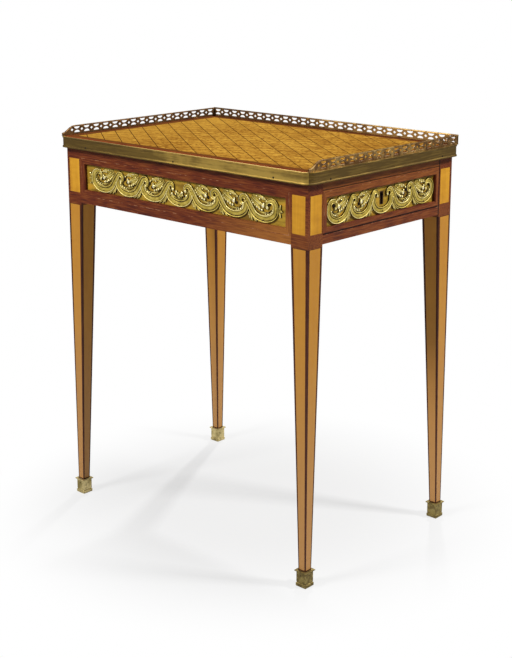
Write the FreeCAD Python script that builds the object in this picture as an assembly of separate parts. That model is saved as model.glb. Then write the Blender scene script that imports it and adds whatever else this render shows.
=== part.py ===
import FreeCAD, Part
import math
import os

from FreeCAD import Vector

os.makedirs("parts", exist_ok=True)

# A small writing table: four tapered legs, a frieze with gilt mounts in sunk
# panels, a veneered top in a brass edge band with a pierced gallery on three
# sides, and one locking drawer in the right end. Millimetres, the floor at
# z = 0, the long front towards -Y and the drawer end towards +X.

# Whole table
frame_length = 592.0  # over the outer faces of the legs, left to right
frame_depth = 392.0  # over the outer faces of the legs, front to back
top_height = 710.0  # floor to the surface of the top
top_thickness = 20.0
frieze_height = 102.0
overhang = 11.0  # the edge of the top beyond the legs
overrun = 2.0  # how far a cutter runs past what it cuts
wood_fit = 0.3  # play between pieces that slide or lie loose
flat_enough = 1e-7  # how far four corners may be out of one plane

# Legs: square above, tapered on the two inner faces below the frieze
leg_width = 36.0
foot_width = 14.0
inlay_thickness = 1.2
stile_corner_band = 5.8
stile_inner_band = 2.4
stile_block_below = 19.0
stile_block_above = 20.0
leg_panel_drop = 5.0
leg_panel_foot_gap = 2.0
leg_band_share = 0.13  # dark edge beside a leg's long panel, of its width there

# Brass caps on the feet
sabot_height = 29.0
sabot_floor = 3.0
sabot_width = 20.0
sabot_base_width = 21.5
sabot_base_height = 6.5
sabot_neck_width = 19.0
sabot_neck_height = 1.2
sabot_bevel = 0.8
sabot_plate_width = 25.0
sabot_plate_thickness = 1.6
sabot_pin_height = 21.0
sabot_pin_length = 6.0

# Square brads that hold the brass
brad_width = 1.4
brad_head_rise = 0.4

# Rails of the frieze
rail_thickness = 18.0
tenon_length = 14.0
tenon_thickness = 8.0
tenon_setback = 6.0
tenon_shoulder = 12.0
tenon_end_gap = 1.0

# Sunk panels
recess_depth = 7.0
veneer_thickness = 1.0
panel_drop = 27.0  # underside of the top to the upper edge of a panel
panel_height = 51.0
front_panel_margin = 11.0  # of plain rail beside a panel, to the leg
end_panel_margin = 10.0
moulding_width = 1.6
moulding_setback = 0.3
moulding_round = 1.1

# Running scroll mounts in the panels
mount_gap = 0.4
front_bowls = 7
front_mount_margin = 18.0  # from the last bowl's outer edge to the panel's end
front_band_width = 10.0
front_crest_radius = 8.0
end_bowls = 5
end_mount_margin = 4.0
end_band_width = 9.0
end_crest_radius = 7.0
mount_rise = 3.4
channel_depth = 1.3
leaf_rise = 3.2
leaf_width = 7.4
leaf_tip_width = 0.6
mount_pin_length = 9.0
mount_pin_bowls = 3

# Drawer rails, drawer and what it runs on
drawer_rail_thickness = 22.0
drawer_bottom_rail_height = 15.6
drawer_top_rail_height = 13.6
drawer_rail_tenon_height = 9.0
drawer_gap = 0.8
drawer_front_thickness = 20.0
drawer_length = 406.0
drawer_side_thickness = 8.0
drawer_side_height = 71.0
drawer_bottom_thickness = 5.0
drawer_bottom_rise = 8.0
groove_depth = 4.0
dovetail_lap = 13.0
dovetail_flare = 2.4
dovetail_count = 3
runner_width = 22.0
runner_height = 13.6
guide_rise = 11.0
stop_length = 12.0
stop_height = 9.0
glue_block_side = 18.0
glue_block_length = 50.0
glue_block_gap = 23.0  # from a kicker

# Lock in the drawer front
lock_width = 56.0
lock_height = 51.0
lock_thickness = 10.0
bolt_width = 27.0
bolt_height = 20.0
bolt_thickness = 5.4
bolt_setback = 2.6
bolt_travel = 7.0
bolt_fit = 0.3
notch_play = 1.5  # beside and above the raised bolt
keyhole_height = 58.5  # above the underside of the frieze
keyhole_radius = 4.0
keyhole_slot_width = 4.8
keyhole_slot_length = 17.0
keyhole_depth = 5.0

# Top
band_thickness = 4.0
band_hollow = 1.3
band_lip = 1.7
band_bevel = 1.6
corner_radius = 18.0
border_width = 9.0
edge_nail_height = 4.6
edge_nail_length = 10.0
edge_nail_share = 0.78  # where the outer nails stand, of half a side's length

# Pierced gallery
gallery_inset = 5.2
gallery_height = 17.0
gallery_thickness = 1.6
gallery_rail_width = 2.8
gallery_rail_height = 1.4
gallery_bar = 1.5
gallery_back_units = 26
gallery_end_units = 17
gallery_post_width = 3.6
gallery_peg_length = 8.0
arch_steps = 4

# Heights that the sizes above settle
top_underside = top_height - top_thickness
frieze_bottom = top_underside - frieze_height
panel_top = top_underside - panel_drop
panel_bottom = panel_top - panel_height
half_length = frame_length / 2
half_depth = frame_depth / 2
end_opening = half_depth - leg_width
panel_face_depth = recess_depth - veneer_thickness
front_panel_length = 2 * (half_length - leg_width - front_panel_margin)
end_panel_length = 2 * (end_opening - end_panel_margin)
front_bowl_pitch = (front_panel_length - 2 * front_mount_margin) / front_bowls
end_bowl_pitch = (end_panel_length - 2 * end_mount_margin) / end_bowls
drawer_base = frieze_bottom + drawer_bottom_rail_height
drawer_ceiling = top_underside - drawer_top_rail_height
core_top = top_height - veneer_thickness


def save(name, *solids):
    """Write one piece, or a group of like pieces, under its name."""
    shape = solids[0] if len(solids) == 1 else Part.makeCompound(list(solids))
    shape.exportStep("parts/" + name + ".step")


def box(x_ends, y_ends, z_ends):
    """A block between two places along each axis."""
    x0, x1 = sorted(x_ends)
    y0, y1 = sorted(y_ends)
    z0, z1 = sorted(z_ends)
    return Part.makeBox(x1 - x0, y1 - y0, z1 - z0, Vector(x0, y0, z0))


def polygon_face(points):
    return Part.Face(Part.makePolygon(list(points) + [points[0]]))


def quad_faces(a, b, c, d):
    """One flat face through four points, or two where they aren't flat."""
    normal = (b - a).cross(c - a)
    if normal.Length > 0 and abs((d - a).dot(normal)) / normal.Length < flat_enough:
        return [polygon_face([a, b, c, d])]
    return [polygon_face([a, b, c]), polygon_face([a, c, d])]


def skin(sections):
    """A solid through closed sections that have as many points each."""
    faces = [polygon_face(sections[0]), polygon_face(sections[-1])]
    count = len(sections[0])
    for near, far in zip(sections, sections[1:]):
        for i in range(count):
            j = (i + 1) % count
            faces += quad_faces(near[i], near[j], far[j], far[i])
    solid = Part.Solid(Part.Shell(faces))
    if solid.Volume < 0:
        solid.reverse()
    return solid


def mirrored(shape, sign_x, sign_y):
    """The same piece for another corner of the table."""
    if sign_x < 0:
        shape = shape.mirror(Vector(0, 0, 0), Vector(1, 0, 0))
    if sign_y > 0:
        shape = shape.mirror(Vector(0, 0, 0), Vector(0, 1, 0))
    return shape


# The four sides are drawn as the front, with the face in the plane y = 0 and
# outwards towards -Y, then turned and moved out to their face.
side_turns = {"front": (0, half_depth), "right": (90, half_length)}
side_turns["back"] = (180, half_depth)
side_turns["left"] = (270, half_length)
half_opening = {"front": half_length - leg_width, "back": half_length - leg_width}
half_opening["left"] = end_opening


def on_side(shape, side, beyond=0):
    """Turn and move a piece drawn as the front to its side of the table."""
    angle, distance = side_turns[side]
    moved = shape.copy()
    moved.translate(Vector(0, -(distance + beyond), 0))
    moved.rotate(Vector(0, 0, 0), Vector(0, 0, 1), angle)
    return moved


# Legs. Drawn at the front right corner with the table's corner at the origin
# of x and y, so that the leg stands at x < 0 and y > 0.
def leg_width_at(z):
    rise = min(z, frieze_bottom) / frieze_bottom
    return foot_width + (leg_width - foot_width) * rise


def leg_section(z):
    w = leg_width_at(z)
    return [Vector(0, 0, z), Vector(0, w, z), Vector(-w, w, z), Vector(-w, 0, z)]


def leg_blank():
    heights = (sabot_floor, frieze_bottom, top_underside)
    return skin([leg_section(z) for z in heights])


def leg_panels():
    """Long satinwood panels on all four faces and short ones on the stiles."""
    low = sabot_height + leg_panel_foot_gap
    high = frieze_bottom - leg_panel_drop
    panels = []
    for i in range(4):
        corners = []
        for z in (low, high):
            a, b = leg_section(z)[i], leg_section(z)[(i + 1) % 4]
            corners.append((a + (b - a) * leg_band_share, b - (b - a) * leg_band_share))
        (a, b), (d, c) = corners
        inward = (b - a).cross(d - a)
        if inward.dot(Vector(-leg_width / 4, leg_width / 4, a.z) - a) < 0:
            inward = -inward
        inward.normalize()
        panels.append(polygon_face([a, b, c, d]).extrude(inward * inlay_thickness))
    low = frieze_bottom + stile_block_below
    high = top_underside - stile_block_above
    near = stile_corner_band
    far = leg_width - stile_inner_band
    panels.append(box((-near, -far), (0, inlay_thickness), (low, high)))
    panels.append(box((0, -inlay_thickness), (near, far), (low, high)))
    return panels


def mortises(x_height, y_height):
    """Slots for the rail on the long side and for the one on the end."""
    deep = leg_width - tenon_length - tenon_end_gap
    cheeks = (tenon_setback, tenon_setback + tenon_thickness)
    long_side = box((-deep, -leg_width - overrun), cheeks, x_height)
    cutters = [long_side]
    for heights in y_height:
        cutters.append(box([-c for c in cheeks], (deep, leg_width + overrun), heights))
    return cutters


def to_corner(shape, sign_x, sign_y):
    moved = shape.copy()
    moved.translate(Vector(half_length, -half_depth, 0))
    return mirrored(moved, sign_x, sign_y)


# Brass caps: a moulded base, a plain body and a thin plate with sharp corners
# on top, with the foot of the leg standing inside.
sabot_axis = leg_width_at(sabot_height) / 2


def square_at(z, width):
    h = width / 2
    corners = [(-h, -h), (h, -h), (h, h), (-h, h)]
    return [Vector(x - sabot_axis, y + sabot_axis, z) for x, y in corners]


def sabot():
    neck_top = sabot_base_height + sabot_neck_height
    plate_bottom = sabot_height - sabot_plate_thickness
    rings = [
        (0, sabot_base_width - sabot_bevel),
        (sabot_bevel, sabot_base_width),
        (sabot_base_height - sabot_bevel, sabot_base_width),
        (sabot_base_height, sabot_neck_width),
        (neck_top, sabot_neck_width),
        (neck_top, sabot_width),
        (plate_bottom, sabot_width),
        (plate_bottom, sabot_plate_width),
        (sabot_height, sabot_plate_width),
    ]
    body = skin([square_at(z, w) for z, w in rings])
    return body.cut(leg_blank())


def sabot_pins():
    """Two brads, one in each outer face."""
    half = brad_width / 2
    face = sabot_axis - sabot_width / 2
    z_ends = (sabot_pin_height - half, sabot_pin_height + half)
    across = (sabot_axis - half, sabot_axis + half)
    along = (face - brad_head_rise, face + sabot_pin_length)
    front_pin = box([-a for a in across], along, z_ends)
    side_pin = box([-a for a in along], across, z_ends)
    return [front_pin, side_pin]


# Rails with their tenons and the recess for the panel
def long_rail(side, panel_length):
    half = half_opening[side]
    body = box((-half, half), (0, rail_thickness), (frieze_bottom, top_underside))
    reach = half + tenon_length
    heights = (frieze_bottom + tenon_shoulder, top_underside - tenon_shoulder)
    tenon = box((-reach, reach), (tenon_setback, tenon_setback + tenon_thickness), heights)
    return body.fuse(tenon).removeSplitter().cut(recess(panel_length))


def recess(panel_length):
    half = panel_length / 2
    return box((-half, half), (-overrun, recess_depth), (panel_bottom, panel_top))


def panel(panel_length):
    half = panel_length / 2
    return box((-half, half), (panel_face_depth, recess_depth), (panel_bottom, panel_top))


def panel_moulding(panel_length):
    """Four mitred strips round the inside of the recess."""
    half = panel_length / 2
    middle = (panel_bottom + panel_top) / 2
    rise = panel_height / 2
    profile = [
        (0, moulding_setback),
        (moulding_width - moulding_round, moulding_setback),
        (moulding_width, moulding_setback + moulding_round),
        (moulding_width, panel_face_depth),
        (0, panel_face_depth),
    ]
    corners = [(-1, -1), (1, -1), (1, 1), (-1, 1)]
    sections = []
    for sx, sz in corners:
        points = [Vector(sx * (half - i), y, middle + sz * (rise - i)) for i, y in profile]
        sections.append(points)
    return [skin([sections[i], sections[(i + 1) % 4]]) for i in range(4)]


def drawer_rail(z_ends):
    """A rail between the two right legs, above or below the drawer."""
    body = box((-end_opening, end_opening), (0, drawer_rail_thickness), z_ends)
    reach = end_opening + tenon_length
    cheeks = (tenon_setback, tenon_setback + tenon_thickness)
    tenon = box((-reach, reach), cheeks, drawer_tenon_ends(z_ends))
    return body.fuse(tenon).removeSplitter()


def drawer_tenon_ends(z_ends):
    middle = sum(z_ends) / 2
    return (middle - drawer_rail_tenon_height / 2, middle + drawer_rail_tenon_height / 2)


# Mounts. One running band in the Vitruvian manner: each bowl's outer arm rises
# and hooks over into the next bowl, mirrored about the middle one, with
# acanthus leaves in the bowls and between them.
bowl_start_angle = 165.0
bowl_leave_angle = 339.0
crest_start_angle = 152.0
crest_end_angle = -48.0
middle_crest_end_angle = -10.0
bowl_steps = 5
crest_steps = 4
crest_shift_share = 0.69  # of the pitch, from a bowl to its own crest
crest_close_share = 0.72  # of its radius that is left where the crest ends
crest_taper_share = 0.5  # of the band's width that is left there
branch_join_share = 0.6  # of the way up the last wave's arm, where the next branches off
terminal_start_angle = 10.0
terminal_width_share = 0.47  # of the bowl's half width
terminal_rise_share = 0.62  # of the bowl's depth
leaf_width_shares = (0.55, 1.0, 0.0)
# Leaves as base, bend and tip: shares of the pitch and of the mount's height
bowl_leaves_shares = (
    ((0.42, 0.16), (0.10, -0.40), (-0.26, 0.04)),
    ((0.32, 0.02), (0.08, 0.10), (0.10, 0.40)),
)
spandrel_leaf_shares = ((0.24, -0.36), (0.42, -0.46), (0.50, -0.24))
middle_leaves_shares = (((0.32, -0.10), (0.14, -0.26), (0.11, 0.08)),)
bud_leaves_shares = (
    ((-0.44, -0.06), (-0.54, 0.02), (-0.56, 0.22)),
    ((-0.44, -0.06), (-0.56, -0.10), (-0.60, -0.02)),
)


def ellipse_run(centre, radii, start, end, steps, close=1.0):
    """Points on an ellipse that may draw in towards its end."""
    points = []
    for i in range(steps + 1):
        part = i / steps
        angle = math.radians(start + (end - start) * part)
        shrink = 1 + (close - 1) * part
        u = centre[0] + radii[0] * shrink * math.cos(angle)
        v = centre[1] + radii[1] * shrink * math.sin(angle)
        points.append((u, v))
    return points


def offset_rows(path, half_widths):
    """Left and right of a path at each point, mitred at the bends."""
    rows = []
    for i, (u, v) in enumerate(path):
        before = path[max(i - 1, 0)]
        after = path[min(i + 1, len(path) - 1)]
        d1 = Vector(u - before[0], v - before[1], 0)
        d2 = Vector(after[0] - u, after[1] - v, 0)
        d1 = d2 if d1.Length == 0 else d1
        d2 = d1 if d2.Length == 0 else d2
        d1.normalize()
        d2.normalize()
        along = d1 + d2
        along.normalize()
        spread = half_widths[i] / along.dot(d1)
        rows.append((Vector(u, v, 0), Vector(-along.y, along.x, 0) * spread))
    return rows


def mount_point(flat, height):
    """A point of a mount, from its place on the panel and its height on it."""
    middle = (panel_bottom + panel_top) / 2
    return Vector(flat.x, panel_face_depth - height, middle + flat.y)


def channelled_band(path, widths):
    """The broad band with its sunk channel."""
    sections = []
    for middle, across in offset_rows(path, [width / 2 for width in widths]):
        sections.append([
            mount_point(middle + across, 0),
            mount_point(middle + across, mount_rise),
            mount_point(middle, mount_rise - channel_depth),
            mount_point(middle - across, mount_rise),
            mount_point(middle - across, 0),
        ])
    return skin(sections)


def leaf(base, bend, tip, width):
    """A pointed acanthus lobe with a ridge along it."""
    steps = len(leaf_width_shares) - 1
    path = []
    for i in range(steps + 1):
        t = i / steps
        weights = ((1 - t) ** 2, 2 * t * (1 - t), t ** 2)
        path.append(tuple(sum(w * p[k] for w, p in zip(weights, (base, bend, tip))) for k in (0, 1)))
    spare = width - leaf_tip_width
    halves = [(leaf_tip_width + share * spare) / 2 for share in leaf_width_shares]
    sections = []
    for (middle, across), share in zip(offset_rows(path, halves), leaf_width_shares):
        ridge = leaf_rise * (1 + share) / 2
        sections.append([
            mount_point(middle + across, 0),
            mount_point(middle, ridge),
            mount_point(middle - across, 0),
        ])
    return skin(sections)


def mount(bowls, pitch, band_width, crest_radius, buds):
    """A whole mount, cast in one piece."""
    height = panel_height - 2 * (moulding_width + mount_gap)
    half_width = pitch / 2 - band_width / 2
    depth = height / 2 - band_width / 2
    crest_rise = depth - crest_radius
    middle = (bowls - 1) // 2
    pieces = []

    def leaf_at(shares, centre, hand):
        ends = [(centre + hand * u * pitch, v * height) for u, v in shares]
        return leaf(*ends, leaf_width)

    def tapered(crest):
        shares = [1 + (crest_taper_share - 1) * i / (len(crest) - 1) for i in range(len(crest))]
        return [band_width * share for share in shares]

    leave = math.radians(bowl_leave_angle)
    arm_foot = (half_width * math.cos(leave) - pitch, depth * math.sin(leave))
    turn_over = math.radians(crest_start_angle)
    arm_top = (
        crest_shift_share * pitch + crest_radius * math.cos(turn_over) - pitch,
        crest_rise + crest_radius * math.sin(turn_over))
    branch = tuple(a + branch_join_share * (b - a) for a, b in zip(arm_foot, arm_top))
    for k in range(bowls):
        centre = (k - middle) * pitch
        if k == middle:
            end = 540 - bowl_start_angle
            bowl = ellipse_run((0, 0), (half_width, depth), bowl_start_angle, end, bowl_steps)
            path = [branch] + bowl + [(-branch[0], branch[1])]
            path = [(centre + u, v) for u, v in path]
            pieces.append(channelled_band(path, [band_width] * len(path)))
            for shares in middle_leaves_shares:
                pieces += [leaf_at(shares, centre, hand) for hand in (-1, 1)]
            continue
        hand = 1 if k < middle else -1
        next_to_middle = abs(k - middle) == 1
        first = k in (0, bowls - 1)
        start = 180.0 if first else bowl_start_angle
        bowl = ellipse_run((0, 0), (half_width, depth), start, bowl_leave_angle, bowl_steps)
        end_angle = middle_crest_end_angle if next_to_middle else crest_end_angle
        crest = ellipse_run(
            (crest_shift_share * pitch, crest_rise), (crest_radius, crest_radius),
            crest_start_angle, end_angle, crest_steps, crest_close_share)
        if first:
            width = terminal_width_share * half_width
            rise = terminal_rise_share * depth
            turn = (width - half_width, depth - rise)
            curl = ellipse_run(turn, (width, rise), terminal_start_angle, 180.0, crest_steps)
            widths = tapered(curl)[::-1] + [band_width] * len(bowl) + tapered(crest)
            path = curl + bowl + crest
        else:
            widths = [band_width] * (1 + len(bowl)) + tapered(crest)
            path = [branch] + bowl + crest
        path = [(centre + hand * u, v) for u, v in path]
        pieces.append(channelled_band(path, widths))
        leaves = list(bowl_leaves_shares) + [spandrel_leaf_shares]
        if first and buds:
            leaves += list(bud_leaves_shares)
        pieces += [leaf_at(shares, centre, hand) for shares in leaves]
    return pieces[0].multiFuse(pieces[1:]).removeSplitter()


def mount_pins(bowls, pitch):
    """Brads through the bottoms of the outer bowls and the middle one."""
    height = panel_height - 2 * (moulding_width + mount_gap)
    band = (front_band_width + end_band_width) / 2
    z = (panel_bottom + panel_top) / 2 - height / 2 + band / 2
    half = brad_width / 2
    face = panel_face_depth - mount_rise
    y_ends = (face - brad_head_rise, face + mount_pin_length)
    reach = (bowls - 1) / 2 * pitch
    spacing = 2 * reach / (mount_pin_bowls - 1)
    pins = []
    for i in range(mount_pin_bowls):
        x = -reach + i * spacing
        pins.append(box((x - half, x + half), y_ends, (z - half, z + half)))
    return pins


# Drawer
drawer_half_width = end_opening - drawer_gap
drawer_face = half_length
drawer_front_back = half_length - drawer_front_thickness
drawer_front_ends = (drawer_base + drawer_gap, drawer_ceiling - drawer_gap)
drawer_side_ends = (drawer_base + wood_fit, drawer_base + wood_fit + drawer_side_height)
drawer_back_face = half_length - drawer_length
drawer_floor_ends = (
    drawer_side_ends[0] + drawer_bottom_rise,
    drawer_side_ends[0] + drawer_bottom_rise + drawer_bottom_thickness,
)
drawer_groove_reach = drawer_half_width - drawer_side_thickness + groove_depth


def dovetails(root_x, reach, hand):
    """Tails at one end of a drawer side, wider at their tips."""
    low, high = drawer_side_ends
    pitch = (high - low) / dovetail_count
    narrow = pitch / 4
    wide = narrow + dovetail_flare
    inner = drawer_half_width - drawer_side_thickness
    tails = []
    for i in range(dovetail_count):
        z = low + pitch * (i + 0.5)
        outline = [
            Vector(root_x, inner, z - narrow), Vector(root_x + reach, inner, z - wide),
            Vector(root_x + reach, inner, z + wide), Vector(root_x, inner, z + narrow),
        ]
        tail = polygon_face(outline).extrude(Vector(0, drawer_side_thickness, 0))
        tails.append(tail if hand > 0 else tail.mirror(Vector(0, 0, 0), Vector(0, 1, 0)))
    return tails


def drawer_side(hand):
    inner = hand * (drawer_half_width - drawer_side_thickness)
    x_ends = (drawer_back_face + drawer_side_thickness, drawer_front_back)
    board = box(x_ends, (inner, hand * drawer_half_width), drawer_side_ends)
    tails = dovetails(drawer_front_back, dovetail_lap, hand)
    tails += dovetails(drawer_back_face + drawer_side_thickness, -drawer_side_thickness, hand)
    return board.multiFuse(tails).removeSplitter().cut(drawer_floor())


def drawer_floor():
    x_ends = (drawer_back_face, drawer_front_back + groove_depth)
    return box(x_ends, (-drawer_groove_reach, drawer_groove_reach), drawer_floor_ends)


def drawer_back():
    """The back board stands on the floor panel, its ends cut for the tails."""
    x_ends = (drawer_back_face, drawer_back_face + drawer_side_thickness)
    z_ends = (drawer_floor_ends[1], drawer_side_ends[1])
    board = box(x_ends, (-drawer_half_width, drawer_half_width), z_ends)
    return board.cut(drawer_side(-1)).cut(drawer_side(1))


def lock_body_block():
    x_ends = (drawer_front_back, drawer_front_back + lock_thickness)
    z_ends = (drawer_front_ends[1] - lock_height, drawer_front_ends[1])
    return box(x_ends, (-lock_width / 2, lock_width / 2), z_ends)


def bolt_box(play, lift=0):
    """The bolt, or with play the slot that it slides in."""
    x0 = drawer_front_back + bolt_setback - play
    x_ends = (x0, x0 + bolt_thickness + 2 * play)
    half = bolt_width / 2 + play
    z_ends = (drawer_front_ends[1] - bolt_height - play, drawer_front_ends[1] + lift)
    return box(x_ends, (-half, half), z_ends)


def bolt_notch():
    """Where the raised bolt stands: a notch in the rail, cut from its back edge."""
    bolt_front = drawer_front_back + bolt_setback + bolt_thickness
    x_ends = (half_length - drawer_rail_thickness - overrun, bolt_front + bolt_fit)
    half = bolt_width / 2 + notch_play
    z_ends = (drawer_ceiling - overrun, drawer_ceiling + bolt_travel + notch_play)
    return box(x_ends, (-half, half), z_ends)


def glued_up(rail):
    """The rail as two strips that are glued together in the plane the bolt bears on."""
    joint = drawer_front_back + bolt_setback + bolt_thickness + bolt_fit
    x_ends = (half_length - drawer_rail_thickness - overrun, joint)
    z_ends = (drawer_ceiling - overrun, top_underside + overrun)
    inner = box(x_ends, (-half_depth, half_depth), z_ends)
    return [rail.common(inner), rail.cut(inner)]


def keyhole(x_ends):
    """Round above, a slot below."""
    z = frieze_bottom + keyhole_height
    run = x_ends[1] - x_ends[0]
    eye = Part.makeCylinder(keyhole_radius, run, Vector(x_ends[0], 0, z), Vector(1, 0, 0))
    half = keyhole_slot_width / 2
    slot = box(x_ends, (-half, half), (z - keyhole_slot_length, z))
    return eye.fuse(slot)


def drawer_front():
    x_ends = (drawer_front_back, drawer_face)
    board = box(x_ends, (-drawer_half_width, drawer_half_width), drawer_front_ends)
    board = board.cut(on_side(recess(end_panel_length), "right"))
    for hand in (-1, 1):
        board = board.cut(Part.makeCompound(dovetails(drawer_front_back, dovetail_lap, hand)))
    board = board.cut(drawer_floor())
    board = board.cut(lock_body_block())
    return board.cut(keyhole((drawer_front_back, drawer_face)))


def lock_body():
    body = lock_body_block().cut(bolt_box(bolt_fit, overrun))
    front = drawer_front_back + lock_thickness
    return body.cut(keyhole((front - keyhole_depth, front + overrun)))


def runner(hand):
    """Carries a drawer side from the left rail to the rail under the drawer."""
    x_ends = (rail_thickness - half_length, half_length - drawer_rail_thickness)
    y_ends = (hand * (end_opening - runner_width), hand * end_opening)
    return box(x_ends, y_ends, (drawer_base - runner_height, drawer_base))


def kicker(hand):
    """Keeps the drawer from tipping as it comes out."""
    x_ends = (rail_thickness - half_length, half_length - drawer_rail_thickness)
    y_ends = (hand * (end_opening - runner_width), hand * end_opening)
    return box(x_ends, y_ends, (drawer_ceiling, top_underside))


def guide(hand):
    """Fills the space between the runner and the long rail, and rises beside the drawer."""
    reach = half_length - leg_width
    y_ends = (hand * end_opening, hand * (half_depth - rail_thickness))
    return box((-reach, reach), y_ends, (drawer_base - runner_height, drawer_base + guide_rise))


def stop(hand):
    """A block behind the closed drawer."""
    end = drawer_back_face - wood_fit
    y_ends = (hand * (end_opening - runner_width), hand * (end_opening - drawer_gap))
    return box((end - stop_length, end), y_ends, (drawer_base, drawer_base + stop_height))


def glue_block(hand):
    """Between the left rail and the top."""
    x0 = rail_thickness - half_length
    y = end_opening - runner_width - glue_block_gap
    y_ends = (hand * (y - glue_block_length), hand * y)
    return box((x0, x0 + glue_block_side), y_ends, (top_underside - glue_block_side, top_underside))


# Top. The edge band is a hollow moulding between two lips, bent round the
# corners and mitred in the middle of each bend.
edge_half_length = half_length + overhang
edge_half_depth = half_depth + overhang


def rounded_plate(inset, z_ends):
    """A plate with rounded corners, set in from the edge of the top."""
    x, y, r = edge_half_length - inset, edge_half_depth - inset, corner_radius - inset
    plate = box((-x, x), (-y, y), z_ends)
    upright = [e for e in plate.Edges if e.tangentAt(e.FirstParameter).cross(Vector(0, 0, 1)).Length == 0]
    return plate.makeFillet(r, upright)


def band_profile():
    """Points as the distance in from the edge and the height."""
    low, high = top_underside, top_height
    return [
        (band_thickness, low), (0, low), (0, low + band_lip),
        (band_hollow, low + band_lip + band_bevel), (band_hollow, high - band_lip - band_bevel),
        (0, high - band_lip), (0, high), (band_thickness, high),
    ]


def edge_band(side):
    """One length: a straight run and half a bend at each end."""
    along, out = (edge_half_length, edge_half_depth)
    if side in ("left", "right"):
        along, out = out, along
    straight = along - corner_radius
    section = polygon_face([Vector(-straight, i - overhang, z) for i, z in band_profile()])
    pieces = [section.extrude(Vector(2 * straight, 0, 0))]
    for hand in (-1, 1):
        end = polygon_face([Vector(hand * straight, i - overhang, z) for i, z in band_profile()])
        pivot = Vector(hand * straight, corner_radius - overhang, 0)
        pieces.append(end.revolve(pivot, Vector(0, 0, 1), hand * 45))
    return on_side(pieces[0].multiFuse(pieces[1:]).removeSplitter(), side)


def mitre_wedge(side, z_ends):
    """The part of the top that belongs to one side, cut at the mitres."""
    along, out = (edge_half_length, edge_half_depth)
    if side in ("left", "right"):
        along, out = out, along
    depth = min(along, out) / 2
    outline = [
        (-along, -overhang),
        (along, -overhang),
        (along - depth, depth - overhang),
        (depth - along, depth - overhang),
    ]
    foot = polygon_face([Vector(x, y, z_ends[0]) for x, y in outline])
    return on_side(foot.extrude(Vector(0, 0, z_ends[1] - z_ends[0])), side)


def field(z_ends):
    """The space of the parquetry inside the dark border."""
    inset = band_thickness + border_width
    x, y = edge_half_length - inset, edge_half_depth - inset
    return box((-x, x), (-y, y), z_ends)


def top_border():
    z_ends = (core_top, top_height)
    ring = rounded_plate(band_thickness, z_ends).cut(field(z_ends))
    return [ring.common(mitre_wedge(side, z_ends)) for side in ("front", "right", "back", "left")]


def edge_nails():
    """Brads through the lower part of the band."""
    half = brad_width / 2
    z = top_underside + edge_nail_height
    y0 = band_hollow - overhang - brad_head_rise
    nails = []
    for side in ("front", "right", "back", "left"):
        along = half_length if side in ("front", "back") else half_depth
        places = (-1, 0, 1) if side in ("front", "back") else (-1, 1)
        for place in places:
            x = place * edge_nail_share * along
            nail = box((x - half, x + half), (y0, y0 + edge_nail_length), (z - half, z + half))
            nails.append(on_side(nail, side))
    return nails


# Gallery: a pierced strip between two rails. Half round arches stand on the
# lower rail and hang from the upper one, and touch at half height.
gallery_line = gallery_inset - overhang  # y of the strip's middle, drawn as the front
gallery_open_ends = (top_height + gallery_rail_height, top_height + gallery_height - gallery_rail_height)
gallery_middle = sum(gallery_open_ends) / 2
diamond_width_share = 0.5  # of the room between the arches at half height
diamond_tip_share = 0.7  # of half the open height that a diamond reaches


def outline_wire(points):
    corners = [Vector(x, 0, z) for x, z in points]
    return Part.makePolygon(corners + [corners[0]])


def arch_hole(x, half_span, up):
    """Under a standing arch, or over a hanging one."""
    base = gallery_open_ends[0] if up > 0 else gallery_open_ends[1]
    rise = gallery_middle - gallery_open_ends[0] - gallery_bar / 2
    foot = base - up * overrun
    points = [(x - half_span, foot), (x + half_span, foot)]
    for i in range(arch_steps + 1):
        angle = math.pi * i / arch_steps
        points.append((x + half_span * math.cos(angle), base + up * rise * math.sin(angle)))
    return outline_wire(points)


def diamond_hole(x, half_span):
    """Between four arches."""
    tip = (gallery_open_ends[1] - gallery_middle) * diamond_tip_share
    wide = (half_span - gallery_bar) * diamond_width_share
    ring = [(wide, 0), (0, tip), (-wide, 0), (0, -tip)]
    return outline_wire([(x + u, gallery_middle + w) for u, w in ring])


def pierced_strip(x_ends, units):
    """The strip with its openings, between the two rails."""
    pitch = (x_ends[1] - x_ends[0]) / units
    low, high = gallery_open_ends
    outer = outline_wire([(x_ends[0], low), (x_ends[1], low), (x_ends[1], high), (x_ends[0], high)])
    holes = []
    for i in range(units):
        x = x_ends[0] + pitch * (i + 0.5)
        half_span = pitch / 2 - gallery_bar / 2
        holes += [arch_hole(x, half_span, 1), arch_hole(x, half_span, -1)]
        if i > 0:
            holes.append(diamond_hole(x_ends[0] + pitch * i, pitch / 2))
    face = Part.Face(outer).cut(Part.makeCompound([Part.Face(hole) for hole in holes]))
    strip = face.extrude(Vector(0, gallery_thickness, 0))
    strip.translate(Vector(0, gallery_line - gallery_thickness / 2, 0))
    return strip


def gallery_rail(x_ends, z_ends):
    half = gallery_rail_width / 2
    return box(x_ends, (gallery_line - half, gallery_line + half), z_ends)


def gallery_post(x):
    half = gallery_post_width / 2
    y_ends = (gallery_line - half, gallery_line + half)
    return box((x - half, x + half), y_ends, (top_height, top_height + gallery_height + brad_head_rise))


def ramped_end(x, hand, pitch):
    """The front end of an end gallery: it sweeps down to the edge of the top."""
    low, high = gallery_open_ends
    bar = gallery_bar

    def quarter(start, reach, rise):
        points = [(x + hand * start, low)]
        for i in range(arch_steps + 1):
            angle = math.pi / 2 * i / arch_steps
            points.append((x + hand * (start + reach * math.sin(angle)), low + rise * math.cos(angle)))
        return outline_wire(points)

    rise = high + gallery_rail_height - low
    wires = [quarter(0, pitch, rise), quarter(bar, pitch - 3 * bar, rise - bar)]
    face = Part.makeFace(wires, "Part::FaceMakerBullseye")
    end = face.extrude(Vector(0, gallery_thickness, 0))
    end.translate(Vector(0, gallery_line - gallery_thickness / 2, 0))
    return end


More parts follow.
